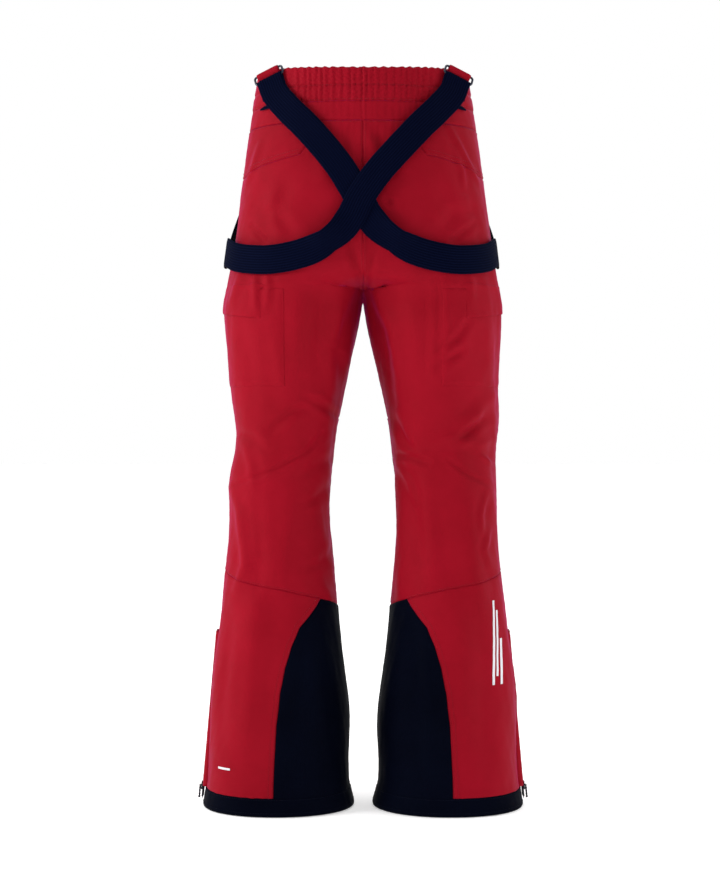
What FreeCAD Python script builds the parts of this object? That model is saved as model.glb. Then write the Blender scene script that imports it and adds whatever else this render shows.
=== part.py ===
"""Ski pants with crossed braces, as an assembly of cut panels, linings, zips and brace hardware.

Frame: millimetres, +Z up, the wearer faces +Y, +X is the wearer's right.
The pants stand on their two hems, and the origin is on the floor, midway between them.
"""
import FreeCAD, Part
import math
import os

from FreeCAD import Vector, Matrix, Placement

doc = FreeCAD.newDocument("ski_pants")
sheet = doc.addObject("Spreadsheet::Sheet", "dimensions")

# ---------------------------------------------------------------- driving dimensions

TORSO_STATIONS = ["crotch", "seat", "hip", "yoke", "waist"]
LEG_STATIONS = ["hem", "ankle", "calf", "shin", "knee", "thigh", "groin", "root"]

# station: height, centre across, half width, half depth, centre in depth, squareness
STATION_SIZES = {
    "crotch": (742, 0, 195, 118, -4, 3.0),
    "seat": (820, 0, 182, 127, -9, 2.6),
    "hip": (900, 0, 173.5, 122, -6, 2.4),
    "yoke": (976, 0, 164, 113, -2, 2.2),
    "waist": (1054, 0, 151.5, 107, 0, 2.2),
    "hem": (0, 123, 108, 100, -6, 2.2),
    "ankle": (130, 121, 98.5, 94, -10, 2.2),
    "calf": (262, 122, 86, 89, -12, 2.2),
    "shin": (367, 123, 75, 83, -7, 2.1),
    "knee": (471, 119, 73, 82, 1, 2.1),
    "thigh": (610, 109, 84, 98, 1, 2.1),
    "groin": (742, 98.3, 97, 114, -4, 2.2),
    "root": (800, 92, 86, 98, -6, 2.2),
}
STATION_FIELDS = ["height", "across", "half_width", "half_depth", "setback", "squareness"]

SIZES = {
    # layers of the garment, from the outer surface inwards
    "shell_thickness": 1.8,
    "layer_gap": 0.4,
    "inner_layer_thickness": 1.0,
    "lining_depth": 3.8,
    "lining_floor_clearance": 40,
    "lining_top_drop": 8,
    "depth_shift": 10.0,
    # seams
    "waistband_seam": 1000,
    "band_seam": 972,
    "knee_top_seam": 560,
    "knee_bottom_seam": 400,
    "hem_band_depth": 27,
    # cargo pockets
    "pocket_top": 735,
    "pocket_bottom": 603,
    "pocket_edge_across": 110,
    "pocket_thickness": 2.6,
    "flap_top": 741,
    "flap_bottom": 697,
    "flap_edge_across": 146,
    "flap_thickness": 2.2,
    # zips
    "tape_width": 26,
    "tape_thickness": 0.8,
    "coil_width": 5,
    "coil_thickness": 1.8,
    "leg_zip_length": 236,
    "leg_slider_rest": 22,
    "pocket_zip_length": 138,
    "fly_zip_length": 140,
    "slider_width": 9,
    "slider_length": 12,
    "slider_thickness": 3.0,
    "slider_clearance": 0.35,
    "slider_bridge": 1.0,
    "pull_axis_rise": 1.65,
    "pull_width": 5,
    "pull_length": 26,
    "pull_thickness": 1.2,
    "pull_hole_radius": 0.85,
    "pull_head_wall": 0.55,
    "cord_diameter": 3,
    "cord_pull_length": 17,
    # fly and waist closure
    "placket_width": 44,
    "placket_height": 165,
    "placket_thickness": 2.4,
    "placket_standoff": 9.4,
    "tab_width": 78,
    "tab_height": 36,
    "tab_thickness": 2.6,
    "tab_standoff": 2.6,
    "snap_radius": 7.5,
    "snap_cap_thickness": 1.8,
    "snap_spacing": 30,
    "stud_radius": 2.4,
    "stud_thickness": 1.6,
    # braces
    "strap_width": 40,
    "strap_thickness": 1.6,
    "strap_lift": 8.5,
    "strap_overlap": 2.2,
    "ring_width": 47,
    "ring_height": 15,
    "ring_bar": 3.2,
    "eye_clearance": 0.4,
    "eye_wall": 1.4,
    "brace_tab_width": 34,
    "brace_tab_length": 24,
    "brace_tab_neck": 3,
    "adjuster_width": 48,
    "adjuster_height": 22,
    "adjuster_thickness": 5,
    "adjuster_clearance": 0.5,
    "adjuster_slot": 5,
    "adjuster_drop": 44,
    "keeper_standoff": 0.3,
    "keeper_thickness": 1.5,
    # inner gaiters
    "gaiter_top": 250,
    "gaiter_bottom": 55,
    "gaiter_thickness": 1.0,
    "gaiter_half_width": 62,
    "gaiter_half_depth": 60,
    "elastic_height": 30,
    "elastic_thickness": 1.2,
}


def fill_sheet():
    """Writes every driving dimension into the sheet as a plain number with an alias."""
    row = 1
    for name, value in SIZES.items():
        row = write_cell(row, name, value)
    for station, values in STATION_SIZES.items():
        for field, value in zip(STATION_FIELDS, values):
            row = write_cell(row, station + "_" + field, value)
    doc.recompute()


def write_cell(row, name, value):
    sheet.set("A%d" % row, name)
    sheet.set("B%d" % row, str(value))
    sheet.setAlias("B%d" % row, name)
    return row + 1


def size(name):
    """A driving dimension, read from the sheet."""
    return float(sheet.get(name))


def bind(target, prop, formula):
    """Ties a property to the sheet; names in the formula are the sheet's aliases after 'd.'."""
    target.setExpression(prop, formula.replace("d.", sheet.Name + "."))


fill_sheet()

SIDES = {"right": 1, "left": -1}
FAR = 400
NODES = []


def node(label, item):
    """Names a document object as one of the garment's pieces."""
    item.Label = label
    NODES.append(item)
    return item


def piece(label, shape, place=None):
    """A piece whose shape is worked out here from the sheet's sizes."""
    feature = doc.addObject("Part::Feature", label)
    feature.Shape = shape
    feature.Placement = place or Placement()
    return node(label, feature)


# ---------------------------------------------------------------- the body's form

def station_values(name):
    return [size(name + "_" + field) for field in STATION_FIELDS]


def oval_point(values, angle, offset):
    """A point of a station's rounded outline; angle 0 is +X, 90 is the front."""
    height, across, half_width, half_depth, setback, squareness = values
    cosine = math.cos(math.radians(angle))
    sine = math.sin(math.radians(angle))
    power = 2.0 / squareness
    x = math.copysign(abs(cosine) ** power, cosine) * (half_width + offset)
    y = math.copysign(abs(sine) ** power, sine) * (half_depth + offset)
    return Vector(across + x, setback + size("depth_shift") + y, height)


def oval_wire(values, offset):
    """The station's outline as a closed curve whose join lies away from every seam."""
    count = 20
    first = -63.0
    points = [oval_point(values, first + 360.0 * index / count, offset) for index in range(count)]
    curve = Part.BSplineCurve()
    curve.interpolate(Points=points, PeriodicFlag=True)
    return Part.Wire(curve.toShape())


def blended_station(stations, height):
    """Station values at any height, between the two stations around it."""
    rows = sorted(station_values(name) for name in stations)
    for low, high in zip(rows, rows[1:]):
        if height <= high[0] or high is rows[-1]:
            share = (height - low[0]) / (high[0] - low[0])
            return [a + (b - a) * share for a, b in zip(low, high)]


def loft_through(rows, offset):
    return Part.makeLoft([oval_wire(values, offset) for values in rows], True, False)


def trunk(offset, crotch_rise=0.0):
    """The trunk's solid form at an offset from the outer surface."""
    rows = [station_values(name) for name in TORSO_STATIONS]
    if crotch_rise:
        rows[0] = blended_station(TORSO_STATIONS, rows[0][0] + crotch_rise)
    return loft_through(rows, offset)


def leg(offset):
    """The right leg's solid form at an offset from the outer surface."""
    return loft_through([station_values(name) for name in LEG_STATIONS], offset)


def mirrored(shape):
    """The same shape on the other side of the garment."""
    return shape.mirror(Vector(0, 0, 0), Vector(1, 0, 0))


def on_side(shape, sign):
    return shape if sign > 0 else mirrored(shape)


def end_plug(station, offset, length):
    """A straight run past an open end of the garment, so that the end is cut open cleanly."""
    return Part.Face(oval_wire(station_values(station), offset)).extrude(Vector(0, 0, length))


def garment_layer(depth, thickness):
    """A layer of cloth from depth to depth + thickness under the outer surface, open at waist and hems."""
    past = 20
    inner = depth + thickness
    outer_leg = leg(-depth)
    outer = trunk(-depth, depth).fuse([outer_leg, mirrored(outer_leg)])
    hollow_leg = leg(-inner)
    hem_plug = end_plug("hem", -inner, -past)
    hollows = [trunk(-inner, inner), hollow_leg, mirrored(hollow_leg)]
    plugs = [end_plug("waist", -inner, past), hem_plug, mirrored(hem_plug)]
    return outer.cut(hollows + plugs)


def prism(outline, front=None, sign=1):
    """A region of the front view, extruded through the front half, the back half or both."""
    low, high = {None: (-FAR, FAR), True: (0, FAR), False: (-FAR, 0)}[front]
    shift = size("depth_shift")
    points = [Vector(sign * x, low + shift, z) for x, z in outline]
    face = Part.Face(Part.makePolygon(points + points[:1]))
    return face.extrude(Vector(0, high - low, 0))


def slab(low, high, front=None, sign=None):
    """A region between two heights; sign picks one side of the garment."""
    inner = -FAR if sign is None else 0
    outline = [(inner, low), (FAR, low), (FAR, high), (inner, high)]
    return prism(outline, front, sign or 1)


def surface_point(angle, height, offset):
    """A point at an offset from the trunk's surface."""
    return oval_point(blended_station(TORSO_STATIONS, height), angle, offset)


def surface_normal(angle, height):
    """The trunk's outward direction, from two steps along its surface."""
    step = 0.5
    along = surface_point(angle + step, height, 0) - surface_point(angle - step, height, 0)
    upward = surface_point(angle, height + step, 0) - surface_point(angle, height - step, 0)
    return along.cross(upward).normalize()


def angle_at(across, height, front):
    """The angle of the trunk's surface point at a distance across, on the front or the back."""
    values = blended_station(TORSO_STATIONS, height)
    share = max(-1.0, min(1.0, (across - values[1]) / values[2]))
    cosine = math.copysign(abs(share) ** (values[5] / 2.0), share)
    angle = math.degrees(math.acos(cosine))
    return angle if front else -angle


def frame_placement(origin, along, normal):
    """A placement whose local X runs along, local Z along the normal, local Y across."""
    x_axis = Vector(along).normalize()
    y_axis = Vector(normal).cross(x_axis).normalize()
    z_axis = x_axis.cross(y_axis)
    return Placement(Matrix(
        x_axis.x, y_axis.x, z_axis.x, origin.x,
        x_axis.y, y_axis.y, z_axis.y, origin.y,
        x_axis.z, y_axis.z, z_axis.z, origin.z,
        0, 0, 0, 1,
    ))


# ---------------------------------------------------------------- seam lines, right half, front view

KICK_BACK = [(0, 27), (125, 27), (123, 70), (120, 132), (111, 204), (93, 255), (66, 302), (0, 262)]
KICK_FRONT = [(0, 27), (84, 27), (82, 100), (74, 200), (57, 284), (0, 256)]
CALF_SEAM = [(66, 302), (240, 352)]
YOKE_SEAM = [(58, 972), (88, 924), (122, 919), (150, 914), (220, 880)]
KEEPER_LOOP = [(108, 994), (108, 1001), (130, 1001), (146, 997), (134, 993.5)]


def calf_outline():
    return CALF_SEAM + [(260, 27)] + KICK_BACK[1:6]


def back_panel_outline():
    return [(0, size("band_seam"))] + YOKE_SEAM + CALF_SEAM[::-1] + [(0, 262)]


def yoke_outline():
    return YOKE_SEAM + [(220, size("band_seam"))]


def shin_outline():
    knee = size("knee_bottom_seam")
    return KICK_FRONT[1:] + [(0, knee), (260, knee), (260, 27)]


# ---------------------------------------------------------------- shell panels

def make_shell_panels():
    shell = garment_layer(0, size("shell_thickness"))
    hem = size("hem_band_depth")
    band = size("band_seam")
    waistband = size("waistband_seam")
    top = size("waist_height") + 5
    piece("waistband_back", shell.common(slab(waistband, top, False)))
    piece("back_band", shell.common(slab(band, waistband, False)))
    for side, sign in SIDES.items():
        piece("waistband_front_" + side, shell.common(slab(waistband, top, True, sign)))
        piece("hip_yoke_" + side, shell.common(prism(yoke_outline(), False, sign)))
        piece("back_panel_" + side, shell.common(prism(back_panel_outline(), False, sign)))
        piece("calf_panel_" + side, shell.common(prism(calf_outline(), False, sign)))
        kick = prism(KICK_BACK, False, sign).fuse(prism(KICK_FRONT, True, sign))
        piece("kick_panel_" + side, shell.common(kick).removeSplitter())
        piece("hem_band_" + side, shell.common(slab(-5, hem, None, sign)))
        piece("shin_panel_" + side, shell.common(prism(shin_outline(), True, sign)))
        knee = slab(size("knee_bottom_seam"), size("knee_top_seam"), True, sign)
        piece("knee_panel_" + side, shell.common(knee))
        front = slab(size("knee_top_seam"), waistband, True, sign)
        piece("front_panel_" + side, shell.common(front))


# ---------------------------------------------------------------- inner layers

def make_inner_layers():
    gap = size("layer_gap")
    thin = size("inner_layer_thickness")
    under_shell = size("shell_thickness") + gap
    lining = garment_layer(size("lining_depth"), thin)
    lining_top = size("waist_height") - size("lining_top_drop")
    piece("lining", lining.common(slab(size("lining_floor_clearance"), lining_top)))

    under_layer = trunk(-under_shell).cut(trunk(-under_shell - thin))
    elastic = slab(size("waistband_seam") + 6, size("waist_height") - 8, False)
    piece("waist_elastic", under_layer.common(elastic))
    bag_outline = [(70, 830), (135, 830), (135, 985), (85, 985)]
    for side, sign in SIDES.items():
        piece("pocket_bag_" + side, under_layer.common(prism(bag_outline, True, sign)))


def make_gaiters():
    """Snow gaiters inside the legs, each a tapered tube with an elastic at its lower edge."""
    thin = size("gaiter_thickness")
    inset = size("lining_depth") + size("inner_layer_thickness") + 2
    top_row = blended_station(LEG_STATIONS, size("gaiter_top"))
    low_row = blended_station(LEG_STATIONS, size("gaiter_bottom"))
    top_row[2] -= inset
    top_row[3] -= inset
    low_row[2] = size("gaiter_half_width")
    low_row[3] = size("gaiter_half_depth")
    tube = loft_through([low_row, top_row], 0).cut(loft_through([low_row, top_row], -thin))

    band_low = list(low_row)
    band_high = list(low_row)
    band_low[0] += 2
    band_high[0] += size("elastic_height")
    wall = size("elastic_thickness")
    under = -thin - size("layer_gap")
    elastic = loft_through([band_low, band_high], under).cut(loft_through([band_low, band_high], under - wall))
    for side, sign in SIDES.items():
        piece("gaiter_" + side, on_side(tube, sign))
        piece("gaiter_elastic_" + side, on_side(elastic, sign))


# ---------------------------------------------------------------- cargo pockets

def leg_layer(standoff, thickness):
    """A layer that lies outside the right leg."""
    return leg(standoff + thickness).cut(leg(standoff))


def make_cargo_pockets():
    gap = size("layer_gap")
    patch_layer = leg_layer(gap, size("pocket_thickness"))
    flap_layer = leg_layer(size("pocket_thickness") + 2.5 * gap, size("flap_thickness"))
    edge = size("pocket_edge_across")
    flap_edge = size("flap_edge_across")
    patch_box = [
        (edge, size("pocket_bottom")), (FAR, size("pocket_bottom")),
        (FAR, size("pocket_top")), (edge, size("pocket_top")),
    ]
    flap_box = [
        (flap_edge, size("flap_bottom") + 5), (FAR, size("flap_bottom")),
        (FAR, size("flap_top")), (flap_edge, size("flap_top")),
    ]
    patch = patch_layer.common(prism(patch_box))
    flap = flap_layer.common(prism(flap_box))
    for side, sign in SIDES.items():
        piece("cargo_pocket_" + side, on_side(patch, sign))
        piece("cargo_flap_" + side, on_side(flap, sign))


# ---------------------------------------------------------------- zips

def add_box(name, length, width, height):
    box = doc.addObject("Part::Box", name)
    bind(box, "Length", length)
    bind(box, "Width", width)
    bind(box, "Height", height)
    return box


def make_tape(label, length, place):
    """The zip's woven tape: local X runs down the zip, local Z out of the garment."""
    tape = add_box(label, length, "d.tape_width", "d.tape_thickness")
    tape.Placement = place.multiply(Placement(Vector(0, -size("tape_width") / 2, 0), FreeCAD.Rotation()))
    return node(label, tape)


def coil_shape(length, place):
    coil = Part.makeBox(length, size("coil_width"), size("coil_thickness"))
    coil.translate(Vector(0, -size("coil_width") / 2, size("tape_thickness")))
    coil.Placement = place.multiply(coil.Placement)
    return coil


def make_slider(label, place):
    """A slider that straddles the coil: a block with a channel below and a bridge on top."""
    block = add_box(label + "_block", "d.slider_length", "d.slider_width", "d.slider_thickness")
    bind(block, "Placement.Base.y", "-d.slider_width / 2")
    bind(block, "Placement.Base.z", "d.tape_thickness + d.slider_clearance")
    channel = add_box(
        label + "_channel", "d.slider_length + 2", "d.coil_width + 2 * d.slider_clearance",
        "d.coil_thickness",
    )
    bind(channel, "Placement.Base.x", "-1")
    bind(channel, "Placement.Base.y", "-d.coil_width / 2 - d.slider_clearance")
    bind(channel, "Placement.Base.z", "d.tape_thickness + d.slider_clearance")
    shoe = doc.addObject("Part::Cut", label + "_shoe")
    shoe.Base = block
    shoe.Tool = channel

    eye = doc.addObject("Part::Cylinder", label + "_eye")
    bind(eye, "Radius", "d.slider_bridge / 2")
    bind(eye, "Height", "d.slider_width - 2")
    eye.Placement = Placement(
        Vector(size("slider_length") / 2, -size("slider_width") / 2 + 1, pull_axis_height()),
        FreeCAD.Rotation(Vector(1, 0, 0), -90),
    )
    cheeks = []
    for end in (-1, 1):
        cheek_height = "d.pull_axis_rise + d.slider_bridge / 2 + 0.2"
        cheek = add_box("%s_cheek_%d" % (label, end + 2), "d.slider_bridge * 1.6", "1", cheek_height)
        cheek.Placement = Placement(
            Vector(
                size("slider_length") / 2 - size("slider_bridge") * 0.8,
                end * (size("slider_width") / 2 - 0.5) - 0.5,
                slider_top() - 0.2,
            ),
            FreeCAD.Rotation(),
        )
        cheeks.append(cheek)
    whole = doc.addObject("Part::MultiFuse", label)
    whole.Shapes = [shoe, eye] + cheeks
    whole.Placement = place
    return node(label, whole)


def slider_top():
    return size("tape_thickness") + size("slider_clearance") + size("slider_thickness")


def pull_axis_height():
    """The height of the slider's bridge bar above the tape's back."""
    return slider_top() + size("pull_axis_rise")


def pull_blade():
    """The pull in its own frame: a flat tab with a hole that the bridge bar passes through."""
    width = size("pull_width")
    length = size("pull_length")
    thickness = size("pull_thickness")
    head_radius = size("pull_hole_radius") + size("pull_head_wall")
    head = Part.makeCylinder(head_radius, width, Vector(0, -width / 2, 0), Vector(0, 1, 0))
    blade = Part.makeBox(length, width, thickness, Vector(0, -width / 2, -thickness / 2))
    hole = Part.makeCylinder(size("pull_hole_radius"), width + 2, Vector(0, -width / 2 - 1, 0), Vector(0, 1, 0))
    return head.fuse(blade).cut(hole)


def cord_pull():
    """The pull of a leg zip: a short metal loop with a stiff cord knotted to it."""
    radius = size("cord_diameter") / 2
    length = size("cord_pull_length")
    head_radius = size("pull_hole_radius") + size("pull_head_wall")
    width = size("pull_width")
    head = Part.makeCylinder(head_radius, width, Vector(0, -width / 2, 0), Vector(0, 1, 0))
    cord = Part.makeCylinder(radius, length, Vector(0, 0, 0), Vector(1, 0, 0))
    tip = Part.makeSphere(radius * 1.15, Vector(length, 0, 0))
    hole = Part.makeCylinder(size("pull_hole_radius"), width + 2, Vector(0, -width / 2 - 1, 0), Vector(0, 1, 0))
    return head.fuse([cord, tip]).cut(hole)


def make_pull(label, shape, place, slider_start):
    centre = Placement(Vector(slider_start + size("slider_length") / 2, 0, pull_axis_height()), FreeCAD.Rotation())
    return piece(label, shape, place.multiply(centre))


def shifted(place, distance):
    """The same local frame, moved along its own X."""
    return place.multiply(Placement(Vector(distance, 0, 0), FreeCAD.Rotation()))


def leg_zip_frame(sign):
    """The outer side seam of the lower leg; the outline is straight there, so the zip is too."""
    top = Vector(size("calf_across") + size("calf_half_width"), 0, size("calf_height"))
    low = Vector(size("hem_across") + size("hem_half_width"), 0, size("hem_height"))
    down = (low - top).normalize()
    normal = Vector(-down.z, 0, down.x).normalize()
    start = top + down * 17 + normal * 1.6
    start.y = size("depth_shift") - 8
    return frame_placement(
        Vector(sign * start.x, start.y, start.z),
        Vector(sign * down.x, 0, down.z),
        Vector(sign * normal.x, 0, normal.z),
    )


def pocket_zip_frame(sign):
    """The slanted hand pocket on the front of the hip."""
    top_height = 984
    low_height = top_height - size("pocket_zip_length") * 0.98
    top_angle = angle_at(sign * 58, top_height, True)
    low_angle = angle_at(sign * 90, low_height, True)
    top = surface_point(top_angle, top_height, 0)
    low = surface_point(low_angle, low_height, 0)
    middle = (top_height + low_height) / 2
    normal = surface_normal((top_angle + low_angle) / 2, middle)
    return frame_placement(top + normal * 4.4, low - top, normal)


def fly_zip_frame():
    top_height = 988
    low_height = top_height - size("fly_zip_length")
    top = surface_point(90, top_height, 0)
    low = surface_point(90, low_height, 0)
    return frame_placement(top + Vector(0, 1.8, 0), low - top, Vector(0, 1, 0))


def make_zips():
    coils = []
    fly = fly_zip_frame()
    make_tape("fly_zip_tape", "d.fly_zip_length", fly)
    coils.append(coil_shape(size("fly_zip_length"), fly))
    make_slider("fly_slider", shifted(fly, 2))
    make_pull("fly_pull", pull_blade(), fly, 2)
    for side, sign in SIDES.items():
        hand = pocket_zip_frame(sign)
        make_tape("pocket_zip_tape_" + side, "d.pocket_zip_length", hand)
        coils.append(coil_shape(size("pocket_zip_length"), hand))
        make_slider("pocket_slider_" + side, shifted(hand, 2))
        make_pull("pocket_pull_" + side, pull_blade(), hand, 2)
        side_seam = leg_zip_frame(sign)
        closed = size("leg_zip_length") - size("leg_slider_rest")
        make_tape("leg_zip_tape_" + side, "d.leg_zip_length", side_seam)
        coils.append(coil_shape(size("leg_zip_length"), side_seam))
        make_slider("leg_slider_" + side, shifted(side_seam, closed))
        make_pull("leg_pull_" + side, cord_pull(), side_seam, closed)
    piece("zip_coils", Part.makeCompound(coils))


# ---------------------------------------------------------------- fly placket and waist closure

def trunk_layer(standoff, thickness):
    """A layer that lies outside the trunk."""
    return trunk(standoff + thickness).cut(trunk(standoff))


def make_closure():
    width = size("placket_width")
    top = size("waistband_seam") - 4
    low = top - size("placket_height")
    placket_box = [(-width / 2, low + 14), (-width / 2, top), (width / 2, top), (width / 2, low)]
    placket = trunk_layer(size("placket_standoff"), size("placket_thickness"))
    piece("fly_placket", placket.common(prism(placket_box, True)))

    middle = (size("waistband_seam") + size("waist_height")) / 2
    half = size("tab_height") / 2
    reach = size("tab_width") / 2
    tab_box = [(-reach, middle - half), (-reach, middle + half), (reach, middle + half), (reach, middle - half)]
    tab = trunk_layer(size("tab_standoff"), size("tab_thickness"))
    piece("waist_tab", tab.common(prism(tab_box, True)))

    caps = []
    studs = []
    for place in (0, 1):
        across = reach - 14 - place * size("snap_spacing")
        angle = angle_at(across, middle, True)
        normal = surface_normal(angle, middle)
        outside = surface_point(angle, middle, size("tab_standoff") + size("tab_thickness") + 0.3)
        caps.append(Part.makeCylinder(size("snap_radius"), size("snap_cap_thickness"), outside, normal))
        inside = surface_point(angle, middle, 0.3)
        studs.append(Part.makeCylinder(size("stud_radius"), size("stud_thickness"), inside, normal))
    piece("waist_snap_caps", Part.makeCompound(caps))
    piece("waist_snap_studs", Part.makeCompound(studs))


# ---------------------------------------------------------------- braces

def rounded_bar_ring(width, height, bar):
    """A rectangular ring in its own frame: local X across, local Y up, centred."""
    body = doc.addObject("PartDesign::Body", "ring_body")
    plane = next(item for item in body.Origin.OriginFeatures if item.Role == "XY_Plane")
    sketch = body.newObject("Sketcher::SketchObject", "ring_outline")
    sketch.AttachmentSupport = (plane, [""])
    sketch.MapMode = "FlatFace"
    rectangle(sketch, width, height)
    rectangle(sketch, width - 2 * bar, height - 2 * bar)
    pad = body.newObject("PartDesign::Pad", "ring_pad")
    pad.Profile = sketch
    pad.Midplane = True
    bind(pad, "Length", "d.ring_bar")
    doc.recompute()
    return body


def rectangle(sketch, width, height):
    """Adds a centred rectangle to a sketch."""
    corners = [
        Vector(-width / 2, -height / 2, 0), Vector(width / 2, -height / 2, 0),
        Vector(width / 2, height / 2, 0), Vector(-width / 2, height / 2, 0),
    ]
    for start, end in zip(corners, corners[1:] + corners[:1]):
        sketch.addGeometry(Part.LineSegment(start, end), False)


def adjuster_body(label):
    """The strap adjuster: a flat buckle with a channel for the strap and two slots in its face."""
    body = doc.addObject("PartDesign::Body", label)
    planes = {item.Role: item for item in body.Origin.OriginFeatures}
    outline = body.newObject("Sketcher::SketchObject", label + "_outline")
    outline.AttachmentSupport = (planes["XY_Plane"], [""])
    outline.MapMode = "FlatFace"
    rectangle(outline, size("adjuster_width"), size("adjuster_height"))
    pad = body.newObject("PartDesign::Pad", label + "_pad")
    pad.Profile = outline
    pad.Midplane = True
    bind(pad, "Length", "d.adjuster_thickness")
    doc.recompute()
    solid_volume = pad.Shape.Volume

    channel = body.newObject("Sketcher::SketchObject", label + "_channel")
    channel.AttachmentSupport = (planes["XZ_Plane"], [""])
    channel.MapMode = "FlatFace"
    clearance = size("adjuster_clearance")
    rectangle(channel, size("strap_width") + 2 * clearance, size("strap_thickness") + 2 * clearance)
    cut = body.newObject("PartDesign::Pocket", label + "_pocket")
    cut.Profile = channel
    cut.Midplane = True
    bind(cut, "Length", "d.adjuster_height + 10")
    doc.recompute()
    channel_volume = cut.Shape.Volume
    assert channel_volume < solid_volume - 1, "the adjuster's channel cut nothing"

    slots = body.newObject("Sketcher::SketchObject", label + "_slots")
    slots.AttachmentSupport = (planes["XY_Plane"], [""])
    slots.MapMode = "FlatFace"
    slot = size("adjuster_slot")
    for end in (-1, 1):
        slot_rectangle(slots, size("strap_width") - 4, slot, end * slot * 0.9)
    window = body.newObject("PartDesign::Pocket", label + "_windows")
    window.Profile = slots
    window.Midplane = True
    bind(window, "Length", "d.adjuster_thickness + 10")
    doc.recompute()
    assert window.Shape.Volume < channel_volume - 1, "the adjuster's slots cut nothing"
    body.Tip = window
    return body


def slot_rectangle(sketch, width, height, rise):
    corners = [
        Vector(-width / 2, rise - height / 2, 0), Vector(width / 2, rise - height / 2, 0),
        Vector(width / 2, rise + height / 2, 0), Vector(-width / 2, rise + height / 2, 0),
    ]
    for start, end in zip(corners, corners[1:] + corners[:1]):
        sketch.addGeometry(Part.LineSegment(start, end), False)


# The right brace's route: distance across, height and whether it lies on the front.
# It starts under the right back ring, crosses the seat, and rounds the left hip to the front.
# Its two ends run taut and straight to their rings; each run lies square to one facing point.
BACK_RUN = [(124, 1034, False), (118, 1012, False)]
BACK_FACING = (86, 1000, False)
FRONT_RUN = [(-120, 956, True), (-88, 1030, True)]
FRONT_FACING = (-104, 995, True)
STRAP_ROUTE = [
    (101, 989, False), (80, 965, False), (60, 941, False), (42, 919, False), (25, 897, False), (12, 877, False),
    (0, 857, False), (-12, 834, False), (-26, 816, False), (-46, 801, False), (-68, 790, False), (-92, 783, False),
    (-119, 779, False), (-150, 780, False), (-172, 785, False), (-182, 793, False), (-184, 800, True),
    (-176, 824, True), (-162, 862, True), (-145, 905, True),
]


def route_point(across, height, front, lift):
    angle = angle_at(across, height, front)
    return surface_point(angle, height, lift), surface_normal(angle, height)


def ribbon(points, normals, width, thickness):
    """A flat strap through points, its face square to the normals, as one solid."""
    wires = []
    last = len(points) - 1
    for index, (point, normal) in enumerate(zip(points, normals)):
        along = points[min(index + 1, last)] - points[max(index - 1, 0)]
        along.normalize()
        across = normal.cross(along).normalize()
        outward = along.cross(across).normalize()
        half = across * (width / 2)
        skin = outward * (thickness / 2)
        corners = [point - half - skin, point + half - skin, point + half + skin, point - half + skin]
        wires.append(Part.makePolygon(corners + corners[:1]))
    return Part.makeLoft(wires, True, True)


def taut_run(run, facing, lift, sign):
    """The two ends of a taut, straight stretch of a brace, and the one normal of its flat face."""
    ends = [route_point(sign * across, height, front, lift)[0] for across, height, front in run]
    along = (ends[1] - ends[0]).normalize()
    outward = route_point(sign * facing[0], facing[1], facing[2], lift)[1]
    normal = (outward - along * outward.dot(along)).normalize()
    return ends, [normal, normal]


def strap_solid(lift, sign):
    points, normals = taut_run(BACK_RUN, BACK_FACING, lift, sign)
    for across, height, front in STRAP_ROUTE:
        point, outward = route_point(sign * across, height, front, lift)
        points.append(point)
        normals.append(outward)
    front_points, front_normals = taut_run(FRONT_RUN, FRONT_FACING, lift, sign)
    points += front_points
    normals += front_normals
    return ribbon(points, normals, size("strap_width"), size("strap_thickness")), points, normals


def eye_tube(centre, across, length):
    """The strap's or tab's sewn loop around a ring's bar."""
    inner = size("ring_bar") / 2 * math.sqrt(2) + size("eye_clearance")
    outer = inner + size("eye_wall")
    start = centre - across * (length / 2)
    tube = Part.makeCylinder(outer, length, start, across)
    return tube.cut(Part.makeCylinder(inner, length, start, across))


def ring_set(point, along, normal):
    """Where a ring hangs above a strap's end: strap eye, ring and tab eye, up the strap's line."""
    eye_middle = size("ring_bar") / 2 * math.sqrt(2) + size("eye_clearance") + size("eye_wall") / 2
    across = normal.cross(along).normalize()
    up = along * -1
    lower_bar = point + up * eye_middle
    centre = lower_bar + up * ((size("ring_height") - size("ring_bar")) / 2)
    upper_bar = lower_bar + up * (size("ring_height") - size("ring_bar"))
    return lower_bar, centre, upper_bar, across


def make_braces():
    ring_source = rounded_bar_ring(size("ring_width"), size("ring_height"), size("ring_bar"))
    garment = trunk(size("layer_gap") / 2)
    rings = []
    tabs = []
    for side, sign in SIDES.items():
        lift = size("strap_lift") + (size("strap_overlap") if sign > 0 else 0.0)
        strap, points, normals = strap_solid(lift, sign)
        back_along = (points[1] - points[0]).normalize()
        front_along = (points[-2] - points[-1]).normalize()
        eyes = []
        for point, along, normal in [(points[0], back_along, normals[0]), (points[-1], front_along, normals[-1])]:
            square = (normal - along * normal.dot(along)).normalize()
            lower_bar, centre, upper_bar, across = ring_set(point, along, square)
            eyes.append(eye_tube(lower_bar, across, size("strap_width")))
            ring = ring_source.Shape.copy()
            ring.Placement = frame_placement(centre, across, square)
            rings.append(ring)
            tabs.append(brace_tab(upper_bar, along, across, square).cut(garment))
        piece("brace_strap_" + side, strap.fuse(eyes))
        front_side = "left" if side == "right" else "right"
        adjuster = adjuster_body("brace_adjuster_" + front_side)
        place = points[-1] + front_along * size("adjuster_drop")
        across = normals[-1].cross(front_along)
        adjuster.Placement = frame_placement(place, across, normals[-1])
        node("brace_adjuster_" + front_side, adjuster)
    piece("brace_rings", Part.makeCompound(rings))
    piece("brace_tabs", Part.makeCompound(tabs))


def make_keeper_loops():
    """A small webbing loop in each side of the waistband seam, half under the brace."""
    layer = trunk_layer(size("keeper_standoff"), size("keeper_thickness"))
    for side, sign in SIDES.items():
        piece("keeper_loop_" + side, layer.common(prism(KEEPER_LOOP, False, sign)))


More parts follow.
